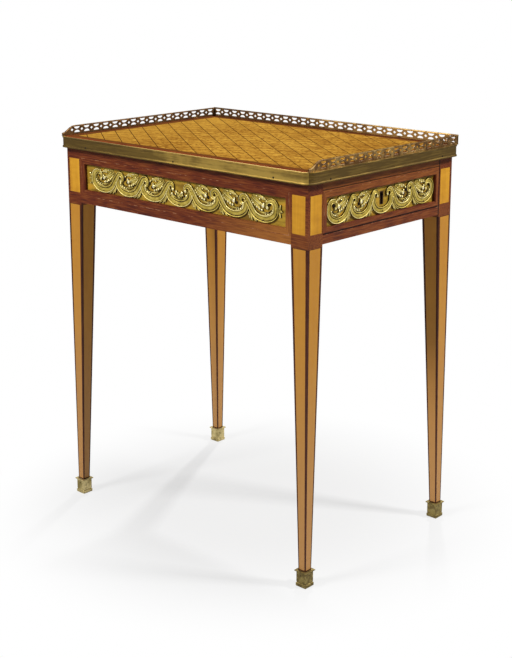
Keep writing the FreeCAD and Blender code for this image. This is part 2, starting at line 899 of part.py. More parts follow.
def gallery_back():
    reach = edge_half_length - gallery_inset
    pieces = [
        gallery_rail((-reach, reach), (top_height, gallery_open_ends[0])),
        gallery_rail((-reach, reach), (gallery_open_ends[1], top_height + gallery_height)),
        pierced_strip((-reach, reach), gallery_back_units),
        gallery_post(-reach),
        gallery_post(reach),
    ]
    return on_side(pieces[0].multiFuse(pieces[1:]).removeSplitter(), "back")


def gallery_end(side):
    """Runs from the post at the back corner to the front corner of the top."""
    hand = -1 if side == "right" else 1  # towards the front, drawn as the front
    back = -hand * (edge_half_depth - gallery_inset - gallery_post_width / 2)
    front = hand * (edge_half_depth - gallery_inset)
    pitch = abs(front - back) / (gallery_end_units + 1)
    bend = front - hand * pitch
    pieces = [
        gallery_rail((back, front), (top_height, gallery_open_ends[0])),
        gallery_rail((back, bend), (gallery_open_ends[1], top_height + gallery_height)),
        pierced_strip(sorted((back, bend)), gallery_end_units),
        ramped_end(bend, hand, pitch),
    ]
    return on_side(pieces[0].multiFuse(pieces[1:]).removeSplitter(), side)


def gallery_pegs():
    """Brads from the lower rail down into the core."""
    half = brad_width / 2
    pegs = []
    for side, reach in (("back", edge_half_length), ("left", edge_half_depth), ("right", edge_half_depth)):
        for place in (-1, 1):
            x = place * edge_nail_share * reach
            y_ends = (gallery_line - half, gallery_line + half)
            z_ends = (top_height + gallery_rail_height / 2, top_height - gallery_peg_length)
            pegs.append(on_side(box((x - half, x + half), y_ends, z_ends), side))
    return pegs


def cut_all(shape, cutters):
    return shape.cut(Part.makeCompound(list(cutters)))


# Everything is made here, and what passes through a piece is cut from it.
def make_legs():
    pins = sabot_pins()
    rail_heights = (frieze_bottom + tenon_shoulder, top_underside - tenon_shoulder)
    bottom_rail = drawer_tenon_ends((frieze_bottom, drawer_base))
    top_rail = drawer_tenon_ends((drawer_ceiling, top_underside))
    all_pins = []
    for y_name, sign_y in (("front", -1), ("back", 1)):
        for x_name, sign_x in (("left", -1), ("right", 1)):
            end_heights = [rail_heights] if sign_x < 0 else [bottom_rail, top_rail]
            leg = cut_all(leg_blank(), leg_panels() + mortises(rail_heights, end_heights) + pins)
            save("leg_" + y_name + "_" + x_name, to_corner(leg, sign_x, sign_y))
            inlays = [to_corner(p, sign_x, sign_y) for p in leg_panels()]
            save("leg_inlays_" + y_name + "_" + x_name, *inlays)
            cap = cut_all(sabot(), pins)
            save("sabot_" + y_name + "_" + x_name, to_corner(cap, sign_x, sign_y))
            all_pins += [to_corner(p, sign_x, sign_y) for p in pins]
    save("sabot_pins", *all_pins)


def make_friezes():
    front_pins = mount_pins(front_bowls, front_bowl_pitch)
    end_pins = mount_pins(end_bowls, end_bowl_pitch)
    front_mount = mount(front_bowls, front_bowl_pitch, front_band_width, front_crest_radius, True)
    end_mount = mount(end_bowls, end_bowl_pitch, end_band_width, end_crest_radius, False)
    front_mount = cut_all(front_mount, front_pins)
    end_mount = cut_all(end_mount, end_pins)
    for side in ("front", "back", "left"):
        is_end = side == "left"
        length = end_panel_length if is_end else front_panel_length
        pins = end_pins if is_end else front_pins
        casting = end_mount if is_end else front_mount
        save(side + "_rail", on_side(cut_all(long_rail(side, length), pins), side))
        save(side + "_panel", on_side(cut_all(panel(length), pins), side))
        save(side + "_moulding", *[on_side(m, side) for m in panel_moulding(length)])
        save(side + "_mount", on_side(casting, side))
        save(side + "_mount_pins", *[on_side(p, side) for p in pins])
    bottom = drawer_rail((frieze_bottom, drawer_base))
    save("drawer_bottom_rail", on_side(bottom, "right"))
    top = on_side(drawer_rail((drawer_ceiling, top_underside)), "right")
    save("drawer_top_rail", *glued_up(top.cut(bolt_notch())))
    make_drawer(end_mount, end_pins)


def make_drawer(end_mount, end_pins):
    pins = [on_side(p, "right") for p in end_pins]
    key_way = keyhole((drawer_front_back, drawer_face))
    save("drawer_front", cut_all(drawer_front(), pins))
    save("drawer_panel", cut_all(on_side(panel(end_panel_length), "right"), pins + [key_way]))
    save("drawer_moulding", *[on_side(m, "right") for m in panel_moulding(end_panel_length)])
    save("drawer_mount", on_side(end_mount, "right"))
    save("drawer_mount_pins", *pins)
    save("drawer_side_front", drawer_side(-1))
    save("drawer_side_back", drawer_side(1))
    save("drawer_back", drawer_back())
    save("drawer_bottom", drawer_floor())
    save("lock_body", lock_body())
    save("lock_bolt", bolt_box(0))


def make_carcase():
    save("runners", runner(-1), runner(1))
    save("guides", guide(-1), guide(1))
    save("kickers", kicker(-1), kicker(1))
    save("drawer_stops", stop(-1), stop(1))
    save("glue_blocks", glue_block(-1), glue_block(1))


def make_top():
    nails = edge_nails()
    pegs = gallery_pegs()
    core = rounded_plate(band_thickness, (top_underside, core_top))
    save("top_core", cut_all(core, nails + pegs))
    save("top_border", *[cut_all(strip, pegs) for strip in top_border()])
    save("top_parquetry", field((core_top, top_height)))
    for side in ("front", "right", "back", "left"):
        save("edge_band_" + side, cut_all(edge_band(side), nails + pegs))
    save("edge_nails", *nails)
    save("gallery_back", cut_all(gallery_back(), pegs))
    save("gallery_left", cut_all(gallery_end("left"), pegs))
    save("gallery_right", cut_all(gallery_end("right"), pegs))
    save("gallery_pegs", *pegs)


make_legs()
make_friezes()
make_carcase()
make_top()
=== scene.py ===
import math
import random

import bmesh
import bpy
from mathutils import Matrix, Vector


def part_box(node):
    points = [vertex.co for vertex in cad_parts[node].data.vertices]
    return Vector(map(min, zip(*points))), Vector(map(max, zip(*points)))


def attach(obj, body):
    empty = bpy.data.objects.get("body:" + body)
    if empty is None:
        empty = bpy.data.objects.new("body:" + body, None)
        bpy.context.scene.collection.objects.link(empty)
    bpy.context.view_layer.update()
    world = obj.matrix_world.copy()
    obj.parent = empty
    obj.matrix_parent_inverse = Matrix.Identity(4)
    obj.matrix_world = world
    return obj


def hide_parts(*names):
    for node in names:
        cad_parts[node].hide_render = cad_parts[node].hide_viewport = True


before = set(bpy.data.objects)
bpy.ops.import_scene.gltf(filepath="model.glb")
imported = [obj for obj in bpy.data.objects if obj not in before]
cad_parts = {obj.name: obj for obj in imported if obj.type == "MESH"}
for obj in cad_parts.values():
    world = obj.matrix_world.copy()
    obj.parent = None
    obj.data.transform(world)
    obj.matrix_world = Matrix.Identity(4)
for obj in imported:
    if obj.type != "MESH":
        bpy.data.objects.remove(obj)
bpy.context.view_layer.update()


# The four legs. Oak under amaranth veneer, square at the stile and tapered
# below the frieze, with satinwood panels let into every face that shows.
class Wire:
    """A socket of a node, used in sums as if it were a number."""

    def __init__(self, nodes, socket):
        self.nodes = nodes
        self.socket = socket

    def __add__(self, other):
        return self.nodes.sum("ADD", self, other)

    def __sub__(self, other):
        return self.nodes.sum("SUBTRACT", self, other)

    def __mul__(self, other):
        return self.nodes.sum("MULTIPLY", self, other)

    def __truediv__(self, other):
        return self.nodes.sum("DIVIDE", self, other)

    def __gt__(self, other):
        return self.nodes.sum("GREATER_THAN", self, other)

    def __lt__(self, other):
        return self.nodes.sum("LESS_THAN", self, other)

    def __radd__(self, other):
        return self.nodes.sum("ADD", other, self)

    def __rsub__(self, other):
        return self.nodes.sum("SUBTRACT", other, self)

    def __rmul__(self, other):
        return self.nodes.sum("MULTIPLY", other, self)

    def __rtruediv__(self, other):
        return self.nodes.sum("DIVIDE", other, self)

    def __abs__(self):
        return self.nodes.sum("ABSOLUTE", self)


class Nodes:
    """The nodes of a material or of the world."""

    def __init__(self, owner, output):
        owner.use_nodes = True
        self.tree = owner.node_tree
        self.tree.nodes.clear()
        self.output = self.tree.nodes.new("ShaderNode" + output)

    def show(self, shader):
        """What the nodes end in."""
        self.feed(self.output.inputs["Surface"], shader)

    def node(self, kind, settings, sockets, out=0):
        """Any node: its type, its settings, what its sockets get, and which output is used."""
        made = self.tree.nodes.new("ShaderNode" + kind)
        for name, value in settings.items():
            if name == "stops":
                self.set_stops(made.color_ramp, value)
            else:
                setattr(made, name, value)
        for name, value in sockets.items():
            self.feed(made.inputs[name], value)
        return Wire(self, made.outputs[out])

    def set_stops(self, ramp, stops):
        """Gives a colour ramp its stops, each a position and a colour."""
        while len(ramp.elements) < len(stops):
            ramp.elements.new(1)
        for element, (position, colour) in zip(ramp.elements, stops):
            element.position = position
            element.color = (*colour, 1)

    def feed(self, socket, value):
        """Links a wire to a socket, or sets the socket's own value."""
        if isinstance(value, Wire):
            self.tree.links.new(value.socket, socket)
        elif socket.type == "RGBA":
            socket.default_value = (*value, 1)
        elif socket.type == "VECTOR" and isinstance(value, (int, float)):
            socket.default_value = (value, value, value)
        else:
            socket.default_value = value

    def sum(self, operation, *values):
        """A Math node, or a Vector Math node where a value is a vector."""
        wires = [v for v in values if isinstance(v, Wire)]
        vector = any(w.socket.type == "VECTOR" for w in wires)
        vector = vector or any(isinstance(v, tuple) for v in values)
        kind = "VectorMath" if vector else "Math"
        return self.node(kind, {"operation": operation}, dict(enumerate(values)))


class Finish(Nodes):
    """A material: one surface shader, and what is laid over it."""

    def __init__(self, name, **sockets):
        self.material = bpy.data.materials.new(name)
        super().__init__(self.material, "OutputMaterial")
        self.shader = self.node("BsdfPrincipled", {}, sockets)
        self.show(self.shader)
        self.place = self.node("TexCoord", {}, {}, out="Object")

    def set(self, **sockets):
        """Sets sockets of the surface shader by name."""
        shader = self.shader.socket.node
        for name, value in sockets.items():
            self.feed(shader.inputs[name.replace("_", " ")], value)

    def mix(self, low, high, share):
        """Two colours mixed; share is 0 for low and 1 for high."""
        return self.node("Mix", {"data_type": "RGBA"}, {0: share, 6: low, 7: high}, out=2)

    def part(self, axis):
        """One coordinate of the place on the piece, in metres."""
        return self.node("SeparateXYZ", {}, {0: self.place}, out=axis)

    def noise(self, stretch, scale, detail, shift=0, place=None):
        """Soft noise from 0 to 1 that is drawn out where stretch is small."""
        where = (place or self.place) * stretch + shift
        return self.node("TexNoise", {}, {"Vector": where, "Scale": scale, "Detail": detail})

    def ease(self, value, low, high):
        """0 up to low, 1 from high on, and smooth between; low may be the larger."""
        sockets = {"Value": value, "From Min": low, "From Max": high}
        return self.node("MapRange", {"interpolation_type": "SMOOTHSTEP"}, sockets)

    def most(self, first, *others):
        """The highest of several masks at each place."""
        for other in others:
            first = self.sum("MAXIMUM", first, other)
        return first

    def bump(self, height, distance, strength):
        """Fine relief, with its depth in metres."""
        sockets = {"Height": height, "Distance": distance, "Strength": strength}
        self.set(Normal=self.node("Bump", {}, sockets))


even = (1, 1, 1)
grain_along = {"x": (1, 16, 16), "y": (16, 1, 16), "z": (16, 16, 1)}
pores_per_streak = 14


def grain(finish, along, scale):
    """Long streaks of wood along one axis, and the fine pores in them."""
    stretch = grain_along[along]
    streaks = finish.noise(stretch, scale, 5)
    pores = finish.noise(stretch, scale * pores_per_streak, 2)
    return streaks, pores


polish = {"Roughness": 0.42, "Specular IOR Level": 0.15, "Coat Weight": 0.04, "Coat Roughness": 0.2}
waxed = {"Roughness": 0.5, "Specular IOR Level": 0.0}
amaranth_dark = (0.066, 0.0125, 0.0075)
amaranth_mid = (0.134, 0.0265, 0.0080)
amaranth_light = (0.215, 0.0620, 0.0155)
amaranth_worn = (0.330, 0.1200, 0.0230)
amaranth_black = (0.020, 0.0060, 0.0040)
amaranth_stops = ((0.38, amaranth_dark), (0.50, amaranth_mid), (0.64, amaranth_light))
amaranth_streaks = 30
amaranth_pores = 0.00006


def amaranth(name, along, across=None, turned=None, sheen=polish, dark=None, worn=None):
    """Amaranth veneer, its grain along one axis, or across where turned is 1."""
    finish = Finish(name, **sheen)
    streaks, pores = grain(finish, along, amaranth_streaks)
    if turned:
        share = turned(finish)
        side_streaks, side_pores = grain(finish, across, amaranth_streaks)
        streaks = streaks + (side_streaks - streaks) * share
        pores = pores + (side_pores - pores) * share
    cloud = finish.noise(even, 16, 2, 3.7)
    tone = streaks * 0.80 + cloud * 0.20
    colour = finish.node("ValToRGB", {"stops": amaranth_stops}, {0: tone})
    if worn:
        colour = finish.mix(colour, amaranth_worn, worn(finish) * streaks)
    line = finish.ease(pores, 0.42, 0.30)
    colour = finish.mix(colour, amaranth_dark, line * 0.55)
    if dark:
        colour = finish.mix(colour, amaranth_black, dark(finish))
    finish.set(Base_Color=colour, Roughness=0.30 + pores * 0.16)
    finish.bump(pores, amaranth_pores, 0.5)
    return finish.material


satin_dark = (0.395, 0.168, 0.0150)
satin_mid = (0.560, 0.262, 0.0200)
satin_light = (0.680, 0.345, 0.0300)
satin_brown = (0.455, 0.200, 0.0300)
# Painted light from the floor on the lower legs: its colour here, then the heights where it starts and is
# full, and its strength
satin_floor_lit = (0.500, 0.275, 0.1250)
satin_stops = ((0.32, satin_dark), (0.50, satin_mid), (0.66, satin_light))
satin_pores = 0.00005
floor_light_reach = (0.50, 0.05)
floor_light_share = 0.55


def satinwood(name, along, brown):
    """Satinwood veneer, rippled across its grain; brown says where it has darkened, and low down it is
    painted paler and bluer, as light thrown up from the floor.
    """
    finish = Finish(name, **polish)
    streaks, pores = grain(finish, along, 7)
    ripple = finish.noise(tuple(4.0 if s == 1 else 1.3 for s in grain_along[along]), 26, 2, 1.3)
    cloud = finish.noise(even, 6, 2, 5.1)
    tone = streaks * 0.42 + ripple * 0.23 + cloud * 0.35
    colour = finish.node("ValToRGB", {"stops": satin_stops}, {0: tone})
    colour = finish.mix(colour, satin_dark, finish.ease(pores, 0.40, 0.26) * 0.4)
    colour = finish.mix(colour, satin_brown, brown(finish))
    # Painted light from the floor: paler and bluer towards the feet
    floor_light = finish.ease(finish.part("Z"), *floor_light_reach)
    colour = finish.mix(colour, satin_floor_lit, floor_light * floor_light_share)
    finish.set(Base_Color=colour, Roughness=0.30 + streaks * 0.14)
    finish.bump(pores, satin_pores, 0.4)
    return finish.material


def give(node, material):
    """A piece of the frame keeps its shape and gets a finish."""
    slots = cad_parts[node].material_slots
    for slot in slots:
        slot.link = "OBJECT"
        slot.material = material


sharp_corner = 35
edge_wear = 0.0004


def soften(node, width=edge_wear):
    """Breaks a piece's sharp corners, as wear and polish do; width is in metres."""
    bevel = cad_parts[node].modifiers.new("worn_edges", "BEVEL")
    bevel.width = width
    bevel.segments = 2
    bevel.limit_method = "ANGLE"
    bevel.angle_limit = math.radians(sharp_corner)
    bevel.harden_normals = True


block_overlap = 0.004
block_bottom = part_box("front_rail")[0].z - block_overlap
shaft_dark_share = 0.62
shaft_brown_share = 0.75
low_wear_reach = (0.665, 0.600)
block_wear_reach = (0.20, 0.28)
block_wear_share = 0.4


def stile_blocks(finish):
    """1 on the square top of a leg, where the veneer lies across."""
    return finish.part("Z") > block_bottom


def on_shafts(share):
    """Darkening by a share that leaves the square top of a leg alone."""
    return lambda finish: (1 - stile_blocks(finish)) * share


def low_wear(finish):
    """Wear that grows from the middle of the frieze to its lower edge."""
    return finish.ease(finish.part("Z"), *low_wear_reach)


def block_wear(finish):
    """The blocks of the right-hand legs are worn pale below."""
    to_right = finish.ease(finish.part("X"), *block_wear_reach)
    return stile_blocks(finish) * low_wear(finish) * to_right * block_wear_share


leg_amaranth = amaranth(
    "leg_amaranth", "z", across="x", turned=stile_blocks, dark=on_shafts(shaft_dark_share), worn=block_wear)
leg_satinwood = satinwood("leg_satinwood", "z", brown=on_shafts(shaft_brown_share))
corners = [y + "_" + x for y in ("front", "back") for x in ("left", "right")]
for corner in corners:
    give("leg_" + corner, leg_amaranth)
    give("leg_inlays_" + corner, leg_satinwood)
    soften("leg_" + corner)


# The feet: cast brass caps, square, with a moulded base and a thin plate that
# has sharp corners. Two brads hold each one to its leg.
pale_brass = ((0.105, 0.066, 0.024), (0.33, 0.255, 0.085), (0.78, 0.64, 0.30))
yellow_brass = ((0.070, 0.040, 0.010), (0.200, 0.124, 0.025), (0.60, 0.395, 0.085))
copper_brass = ((0.050, 0.024, 0.010), (0.190, 0.098, 0.032), (0.520, 0.330, 0.110))
black_brass = ((0.018, 0.011, 0.006), (0.045, 0.028, 0.012), (0.110, 0.070, 0.030))
brass_dents = 0.00035


def brass(name, tones, age, scratch=even, rubbed=lambda finish: 0.0):
    """Old polished brass; age is how much of it is dull, and the shine mask says where it is bright, from
    wear and from painted highlight and shade.
    """
    brass_brown, brass_dull, brass_bright = tones
    finish = Finish(name, Metallic=0.75)
    cloud = finish.noise(even, 22, 4)
    spots = finish.noise(scratch, 160, 3, 2.2)
    marks = finish.noise(scratch, 60, 4, 4.4)
    shine = rubbed(finish)
    worn = finish.ease(cloud * 0.45 + marks * 0.55 + shine, 0.36 + age * 0.2, 0.54 + age * 0.2)
    colour = finish.mix(brass_dull, brass_bright, worn)
    stain = finish.ease(spots + cloud * 0.4 - shine, 0.72 - age * 0.1, 0.92 - age * 0.1)
    colour = finish.mix(colour, brass_brown, stain * (0.5 + age * 0.4))
    finish.set(Base_Color=colour, Roughness=0.50 - worn * 0.10 + stain * 0.15)
    finish.bump(cloud * 0.6 + marks * 0.4, brass_dents, 0.4)
    return finish.material


foot_reach = (0.27, -0.27)
foot_shine_share = 0.16
foot_dull_share = 0.12
foot_edge_wear = 0.0003


def foot_shine(finish):
    """The two left feet shine, and the two right ones are dull."""
    return finish.ease(finish.part("X"), *foot_reach) * foot_shine_share - foot_dull_share


foot_brass = brass("foot_brass", pale_brass, 0.25, rubbed=foot_shine)
for corner in corners:
    give("sabot_" + corner, foot_brass)
    soften("sabot_" + corner, foot_edge_wear)


# Brads and nails: small ones of near-black brass with domed heads, driven into
# the wood. Each stands where its square shank is.
touching = 1e-6


def islands(node):
    """The lowest and highest corner of each solid of a node."""
    mesh = bmesh.new()
    mesh.from_mesh(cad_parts[node].data)
    bmesh.ops.remove_doubles(mesh, verts=mesh.verts, dist=touching)
    left, boxes = set(mesh.verts), []
    while left:
        reached, todo = [], [left.pop()]
        while todo:
            vertex = todo.pop()
            reached.append(vertex.co.copy())
            near = {edge.other_vert(vertex) for edge in vertex.link_edges} & left
            left -= near
            todo += near
        low = Vector(min(p[k] for p in reached) for k in range(3))
        high = Vector(max(p[k] for p in reached) for k in range(3))
        boxes.append((low, high))
    mesh.free()
    return sorted(boxes, key=lambda box: tuple(round(c, 5) for c in box[0]))


def placed(name, data):
    """A new object in the scene, from its mesh, lamp or camera."""
    made = bpy.data.objects.new(name, data)
    bpy.context.scene.collection.objects.link(made)
    return made


def piece(name, points, faces, material, body, smooth=True):
    """A new piece from its points and faces, riding on a body."""
    mesh = bpy.data.meshes.new(name)
    mesh.from_pydata([tuple(p) for p in points], [], faces)
    tidy = bmesh.new()
    tidy.from_mesh(mesh)
    bmesh.ops.recalc_face_normals(tidy, faces=tidy.faces)
    tidy.to_mesh(mesh)
    tidy.free()
    mesh.materials.append(material)
    mesh.polygons.foreach_set("use_smooth", [smooth] * len(mesh.polygons))
    made = placed(name, mesh)
    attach(made, body)
    return made


def add_tube(points, faces, rings):
    """Adds a closed skin through rings that have as many points each."""
    start, count = len(points), len(rings[0])
    for ring in rings:
        points += ring
    for i in range(len(rings) - 1):
        for j in range(count):
            k = (j + 1) % count
            near, far = start + i * count, start + (i + 1) * count
            faces.append((near + j, near + k, far + k, far + j))
    faces.append(tuple(start + j for j in range(count))[::-1])
    faces.append(tuple(start + (len(rings) - 1) * count + j for j in range(count)))


nail_brass = brass("nail_brass", black_brass, 0.85)
head_sides = 12
head_edge = 0.0004
dome_rise = 0.0003
dome_angles = (0, 0.5, 1.0, 1.4)
brad_head_radius = 0.0011


def domed_heads(name, node, body="table", head_radius=brad_head_radius):
    """Round heads and shanks in place of a node's square brads."""
    points, faces = [], []
    for low, high in islands(node):
        size = high - low
        axis = max(range(3), key=lambda k: size[k])
        middle = (low + high) / 2
        out = Vector((0, 0, 0))
        out[axis] = 1 if axis == 2 or middle[axis] > 0 else -1
        tip = middle + out * size[axis] / 2
        side = Vector((0, 0, 1)) if axis != 2 else Vector((1, 0, 0))
        other = out.cross(side)
        shank = min(size) / 2
        profile = [(shank, -size[axis]), (shank, -head_edge), (head_radius, -head_edge)]
        profile += [(head_radius * math.cos(a), dome_rise * math.sin(a) - dome_rise) for a in dome_angles]
        rings = []
        for radius, rise in profile:
            centre = tip + out * rise
            turns = [2 * math.pi * j / head_sides for j in range(head_sides)]
            rings.append([centre + (side * math.cos(t) + other * math.sin(t)) * radius for t in turns])
        add_tube(points, faces, rings)
    made = piece(name, points, faces, nail_brass, body)
    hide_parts(node)


domed_heads("sabot_brads", "sabot_pins")


# The frieze: oak rails veneered with amaranth, which lies upright beside the
# panels and along above and below them, and a thin light line let in round.
def upright_beside(panel, axis):
    """1 where the veneer stands upright, past a panel's end and its mitres."""
    low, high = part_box(panel)
    middle, half = (low.z + high.z) / 2, (high.z - low.z) / 2
    reach = (high.x - low.x) / 2 if axis == "X" else (high.y - low.y) / 2

    def turned(finish):
        past_end = abs(finish.part(axis)) - reach
        past_top = abs(finish.part("Z") - middle) - half
        return past_end > past_top

    return turned


frieze_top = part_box("front_rail")[1].z
# Painted shade under the top: how far below the frieze's upper edge it reaches, and how dark it is
shade_under_top_reach = (0.0045, 0.0010)
shade_under_top_share = 0.9
corner_wear_reach = (0.02, 0.27)
corner_wear_share = 1.9


def shade_under_top(finish):
    """Painted shade close under the overhanging top, where its shadow falls on the frieze."""
    below_top = frieze_top - finish.part("Z")
    return finish.ease(below_top, *shade_under_top_reach) * shade_under_top_share


def corner_wear(finish):
    """The front is bleached and worn towards its right end, most of all below."""
    to_right = finish.ease(finish.part("X"), *corner_wear_reach)
    return to_right * low_wear(finish) * corner_wear_share


# On the rails, dark is the painted shade under the top; worn is real wear
rail_amaranth = {
    "front": amaranth(
        "front_rail_amaranth", "x", across="z", turned=upright_beside("front_panel", "X"),
        dark=shade_under_top, worn=corner_wear),
    "left": amaranth(
        "left_rail_amaranth", "y", across="z", turned=upright_beside("left_panel", "Y"), dark=shade_under_top),
}
rail_amaranth["back"] = rail_amaranth["front"]
drawer_low, drawer_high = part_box("drawer_front")
# Painted shade in the gaps round the drawer front: how far it reaches below, above and behind it
gap_below = (0.00132, 0.00110)
gap_above = (0.00110, 0.00055)
gap_behind = (0.00264, 0.00176)
gap_above_share = 0.8
side_wear_reach = (0.60, 0.70)
side_wear_share = 0.6
side_wear_least_share = 0.2


def gap_shade(finish):
    """Painted shade, black along the gaps round the drawer front, and under the top."""
    z = finish.part("Z")
    below = finish.ease(abs(z - drawer_low.z), *gap_below)
    above = finish.ease(abs(z - drawer_high.z), *gap_above) * gap_above_share
    behind = finish.ease(drawer_high.y - finish.part("Y"), *gap_behind)
    return finish.most(below, above, behind, shade_under_top(finish))


def side_wear(finish):
    """The drawer's side is browner all over than the front, most of all above."""
    above = finish.ease(finish.part("Z"), *side_wear_reach)
    return above * side_wear_share + side_wear_least_share


plain_rail = amaranth("drawer_rail_amaranth", "y", dark=gap_shade, worn=side_wear)
ground_low = (0.190, 0.106, 0.0125)
ground_high = (0.425, 0.264, 0.0270)


def ground(name, along, dark=None):
    """Satinwood behind the mounts, gone olive, and darker where wax has stayed."""
    finish = Finish(name, **polish)
    streaks, pores = grain(finish, along, 12)
    cloud = finish.noise(even, 45, 4, 2.9)
    clean = finish.ease(streaks * 0.45 + cloud * 0.55, 0.38, 0.60)
    colour = finish.mix(ground_low, ground_high, clean)
    colour = finish.mix(colour, satin_mid, finish.ease(cloud, 0.56, 0.70) * 0.6)
    if dark:
        colour = finish.mix(colour, amaranth_black, dark(finish))
    finish.set(Base_Color=colour)
    finish.bump(pores, satin_pores, 0.4)
    return finish.material


ground_satinwood = {"front": ground("panel_satinwood", "x"), "left": ground("end_panel_satinwood", "y")}
ground_satinwood["back"] = ground_satinwood["front"]
for side in ("front", "back", "left"):
    give(side + "_rail", rail_amaranth[side])
    give(side + "_panel", ground_satinwood[side])
    give(side + "_moulding", rail_amaranth[side])
give("drawer_bottom_rail", plain_rail)
give("drawer_top_rail", plain_rail)

# Each side as its own plane: across, and out of the wood
side_axes = {
    "front": (Vector((1, 0, 0)), Vector((0, -1, 0))),
    "drawer": (Vector((0, 1, 0)), Vector((1, 0, 0))),
    "back": (Vector((-1, 0, 0)), Vector((0, 1, 0))),
    "left": (Vector((0, -1, 0)), Vector((-1, 0, 0))),
}


class Face:
    """The outer face of a node, with points on it: across, up from its middle, and out."""

    def __init__(self, side, node):
        self.across, self.out = side_axes[side]
        self.low, self.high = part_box(node)
        middle = (self.low + self.high) / 2
        self.start = middle + self.out * abs((self.high - self.low).dot(self.out)) / 2
        self.length = abs((self.high - self.low).dot(self.across))
        self.height = self.high.z - self.low.z

    def point(self, u, v, rise):
        return self.start + self.out * rise + self.across * u + Vector((0, 0, v))


line_wood = Finish("line_boxwood", **polish)
line_pale = (0.36, 0.165, 0.080)
line_worn = line_wood.ease(line_wood.noise(even, 90, 3), 0.48, 0.66)
line_wood.set(Base_Color=line_wood.mix(amaranth_mid, line_pale, line_worn))
line_width = 0.0008
line_proud = 0.00006
line_margin_end = 0.007
line_margin_top = 0.0098
line_section = ((0, -line_proud), (0, line_proud), (line_width, line_proud), (line_width, -line_proud))


def light_line(side, rail, body="table"):
    """A thin boxwood line let into the veneer round a panel, mitred."""
    inner, outer = Face(side, side + "_panel"), Face(side, rail)
    half_u = inner.length / 2 + line_margin_end
    half_v = inner.height / 2 + line_margin_top
    lift = inner.start.z - outer.start.z
    points, faces = [], []
    hands = [(-1, -1), (1, -1), (1, 1), (-1, 1)]
    for i in range(4):
        rings = []
        for su, sv in (hands[i], hands[(i + 1) % 4]):
            ring = []
            for inset, rise in line_section:
                ring.append(outer.point(su * (half_u - inset), lift + sv * (half_v - inset), rise))
            rings.append(ring)
        add_tube(points, faces, rings)
    piece(side + "_light_line", points, faces, line_wood.material, body, smooth=False)


for side in ("front", "back", "left"):
    light_line(side, side + "_rail")


# The mounts: cast, chased and gilt bronze. A broad channelled band runs in
# waves from bowl to bowl, with acanthus in the bowls and between them.
# Gilt colours, from painted shadow through the brown of the hollows up to painted glint
gilt_painted_glint = (1.00, 0.93, 0.66)
gilt_bright = (0.97, 0.84, 0.36)
gilt_mid = (0.57, 0.425, 0.068)
gilt_low = (0.085, 0.052, 0.014)
gilt_painted_shadow = (0.022, 0.012, 0.006)
gilt_stops = ((0.10, gilt_painted_shadow), (0.26, gilt_low), (0.50, gilt_mid), (0.82, gilt_bright), (1.0, gilt_painted_glint))
chasing_marks = 0.0003


def gilding():
    """Gilt bronze: bright on the high parts and brown in the hollows, from painted shadow black up to painted
    glints.
    """
    finish = Finish("gilt_bronze", **{"Metallic": 0.55, "Specular IOR Level": 0.2})
    rubbed = finish.node("Attribute", {"attribute_name": "rubbed"}, {}, out="Fac")
    cloud = finish.noise(even, 110, 3)
    fine = finish.noise(even, 700, 2)
    tone = rubbed + (cloud - 0.5) * 0.36 + (fine - 0.5) * 0.30
    colour = finish.node("ValToRGB", {"stops": gilt_stops}, {0: tone})
    finish.set(Base_Color=colour, Roughness=0.52 - finish.ease(tone, 0.5, 1.0) * 0.22)
    finish.bump(fine * 0.6 + cloud * 0.4, chasing_marks, 0.6)
    return finish.material


gilt = gilding()
mount_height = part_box("front_mount")[1].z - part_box("front_mount")[0].z
mount_rise = 0.0034
bowl_start, bowl_leave = 165.0, 339.0
bowl_mirrored = 540.0 - bowl_start
crest_start, crest_end, middle_crest_end = 152.0, -80.0, -25.0
curl_start = -35.0
bowl_steps, middle_steps, crest_steps = 50, 60, 40
band_points, first_band_points, middle_band_points = 84, 100, 64
crest_shift_share = 0.69
crest_close_share = 0.62
crest_taper_share = 0.42
taper_length_share = 0.24
scroll_button_share = 0.62
curl_width_share = 0.47
curl_rise_share = 0.62
branch_join_share = 0.6
branch_sunk_share = 0.55
branch_climb = 6
ball_rings, ball_sides = 7, 14
leaf_steps = 12
leaf_notches = 3
leaf_notch_shares = (0.22, 0.34)
# Across the band: the place, the height, and how far the gilding is worn bright, with painted highlight on
# its rims and painted shade along its outer walls
band_section_shares = (
    (-1.00, 0.00, 0.10), (-1.00, 0.66, 0.30), (-0.95, 0.92, 0.62), (-0.84, 1.00, 0.90), (-0.72, 0.90, 0.55),
    (-0.62, 0.74, 0.32), (-0.40, 0.74, 0.46), (0.00, 0.80, 0.52), (0.30, 0.72, 0.44),
    (0.44, 0.56, 0.16), (0.56, 0.58, 0.18), (0.68, 0.86, 0.52), (0.82, 0.94, 0.60), (0.94, 0.78, 0.36),
    (1.00, 0.50, 0.20), (1.00, 0.00, 0.05),
)
# Across a leaf lobe, the same
leaf_section_shares = (
    (-1.00, 0.00, 0.00), (-1.00, 0.45, 0.10), (-0.84, 0.66, 0.45), (-0.55, 0.80, 0.70), (-0.22, 0.70, 0.46),
    (0.00, 1.00, 1.00),
    (0.22, 0.70, 0.46), (0.55, 0.80, 0.70), (0.84, 0.66, 0.45), (1.00, 0.45, 0.10), (1.00, 0.00, 0.00),
)
# Leaves: base, bend and tip as shares of the pitch and the height, then the
# width as a share of the height, and how high they stand
bowl_leaves_shares = (
    ((-0.29, 0.10), (-0.27, -0.22), (0.02, -0.235), 0.070, 0.8),
    ((0.42, 0.38), (0.32, 0.24), (0.00, 0.10), 0.330, 0.80),
    ((0.40, 0.44), (0.18, 0.46), (-0.08, 0.32), 0.260, 0.70),
    ((0.43, 0.32), (0.36, 0.12), (0.08, -0.04), 0.240, 0.75),
    ((0.22, -0.02), (0.10, -0.22), (-0.20, -0.10), 0.090, 0.8),
)
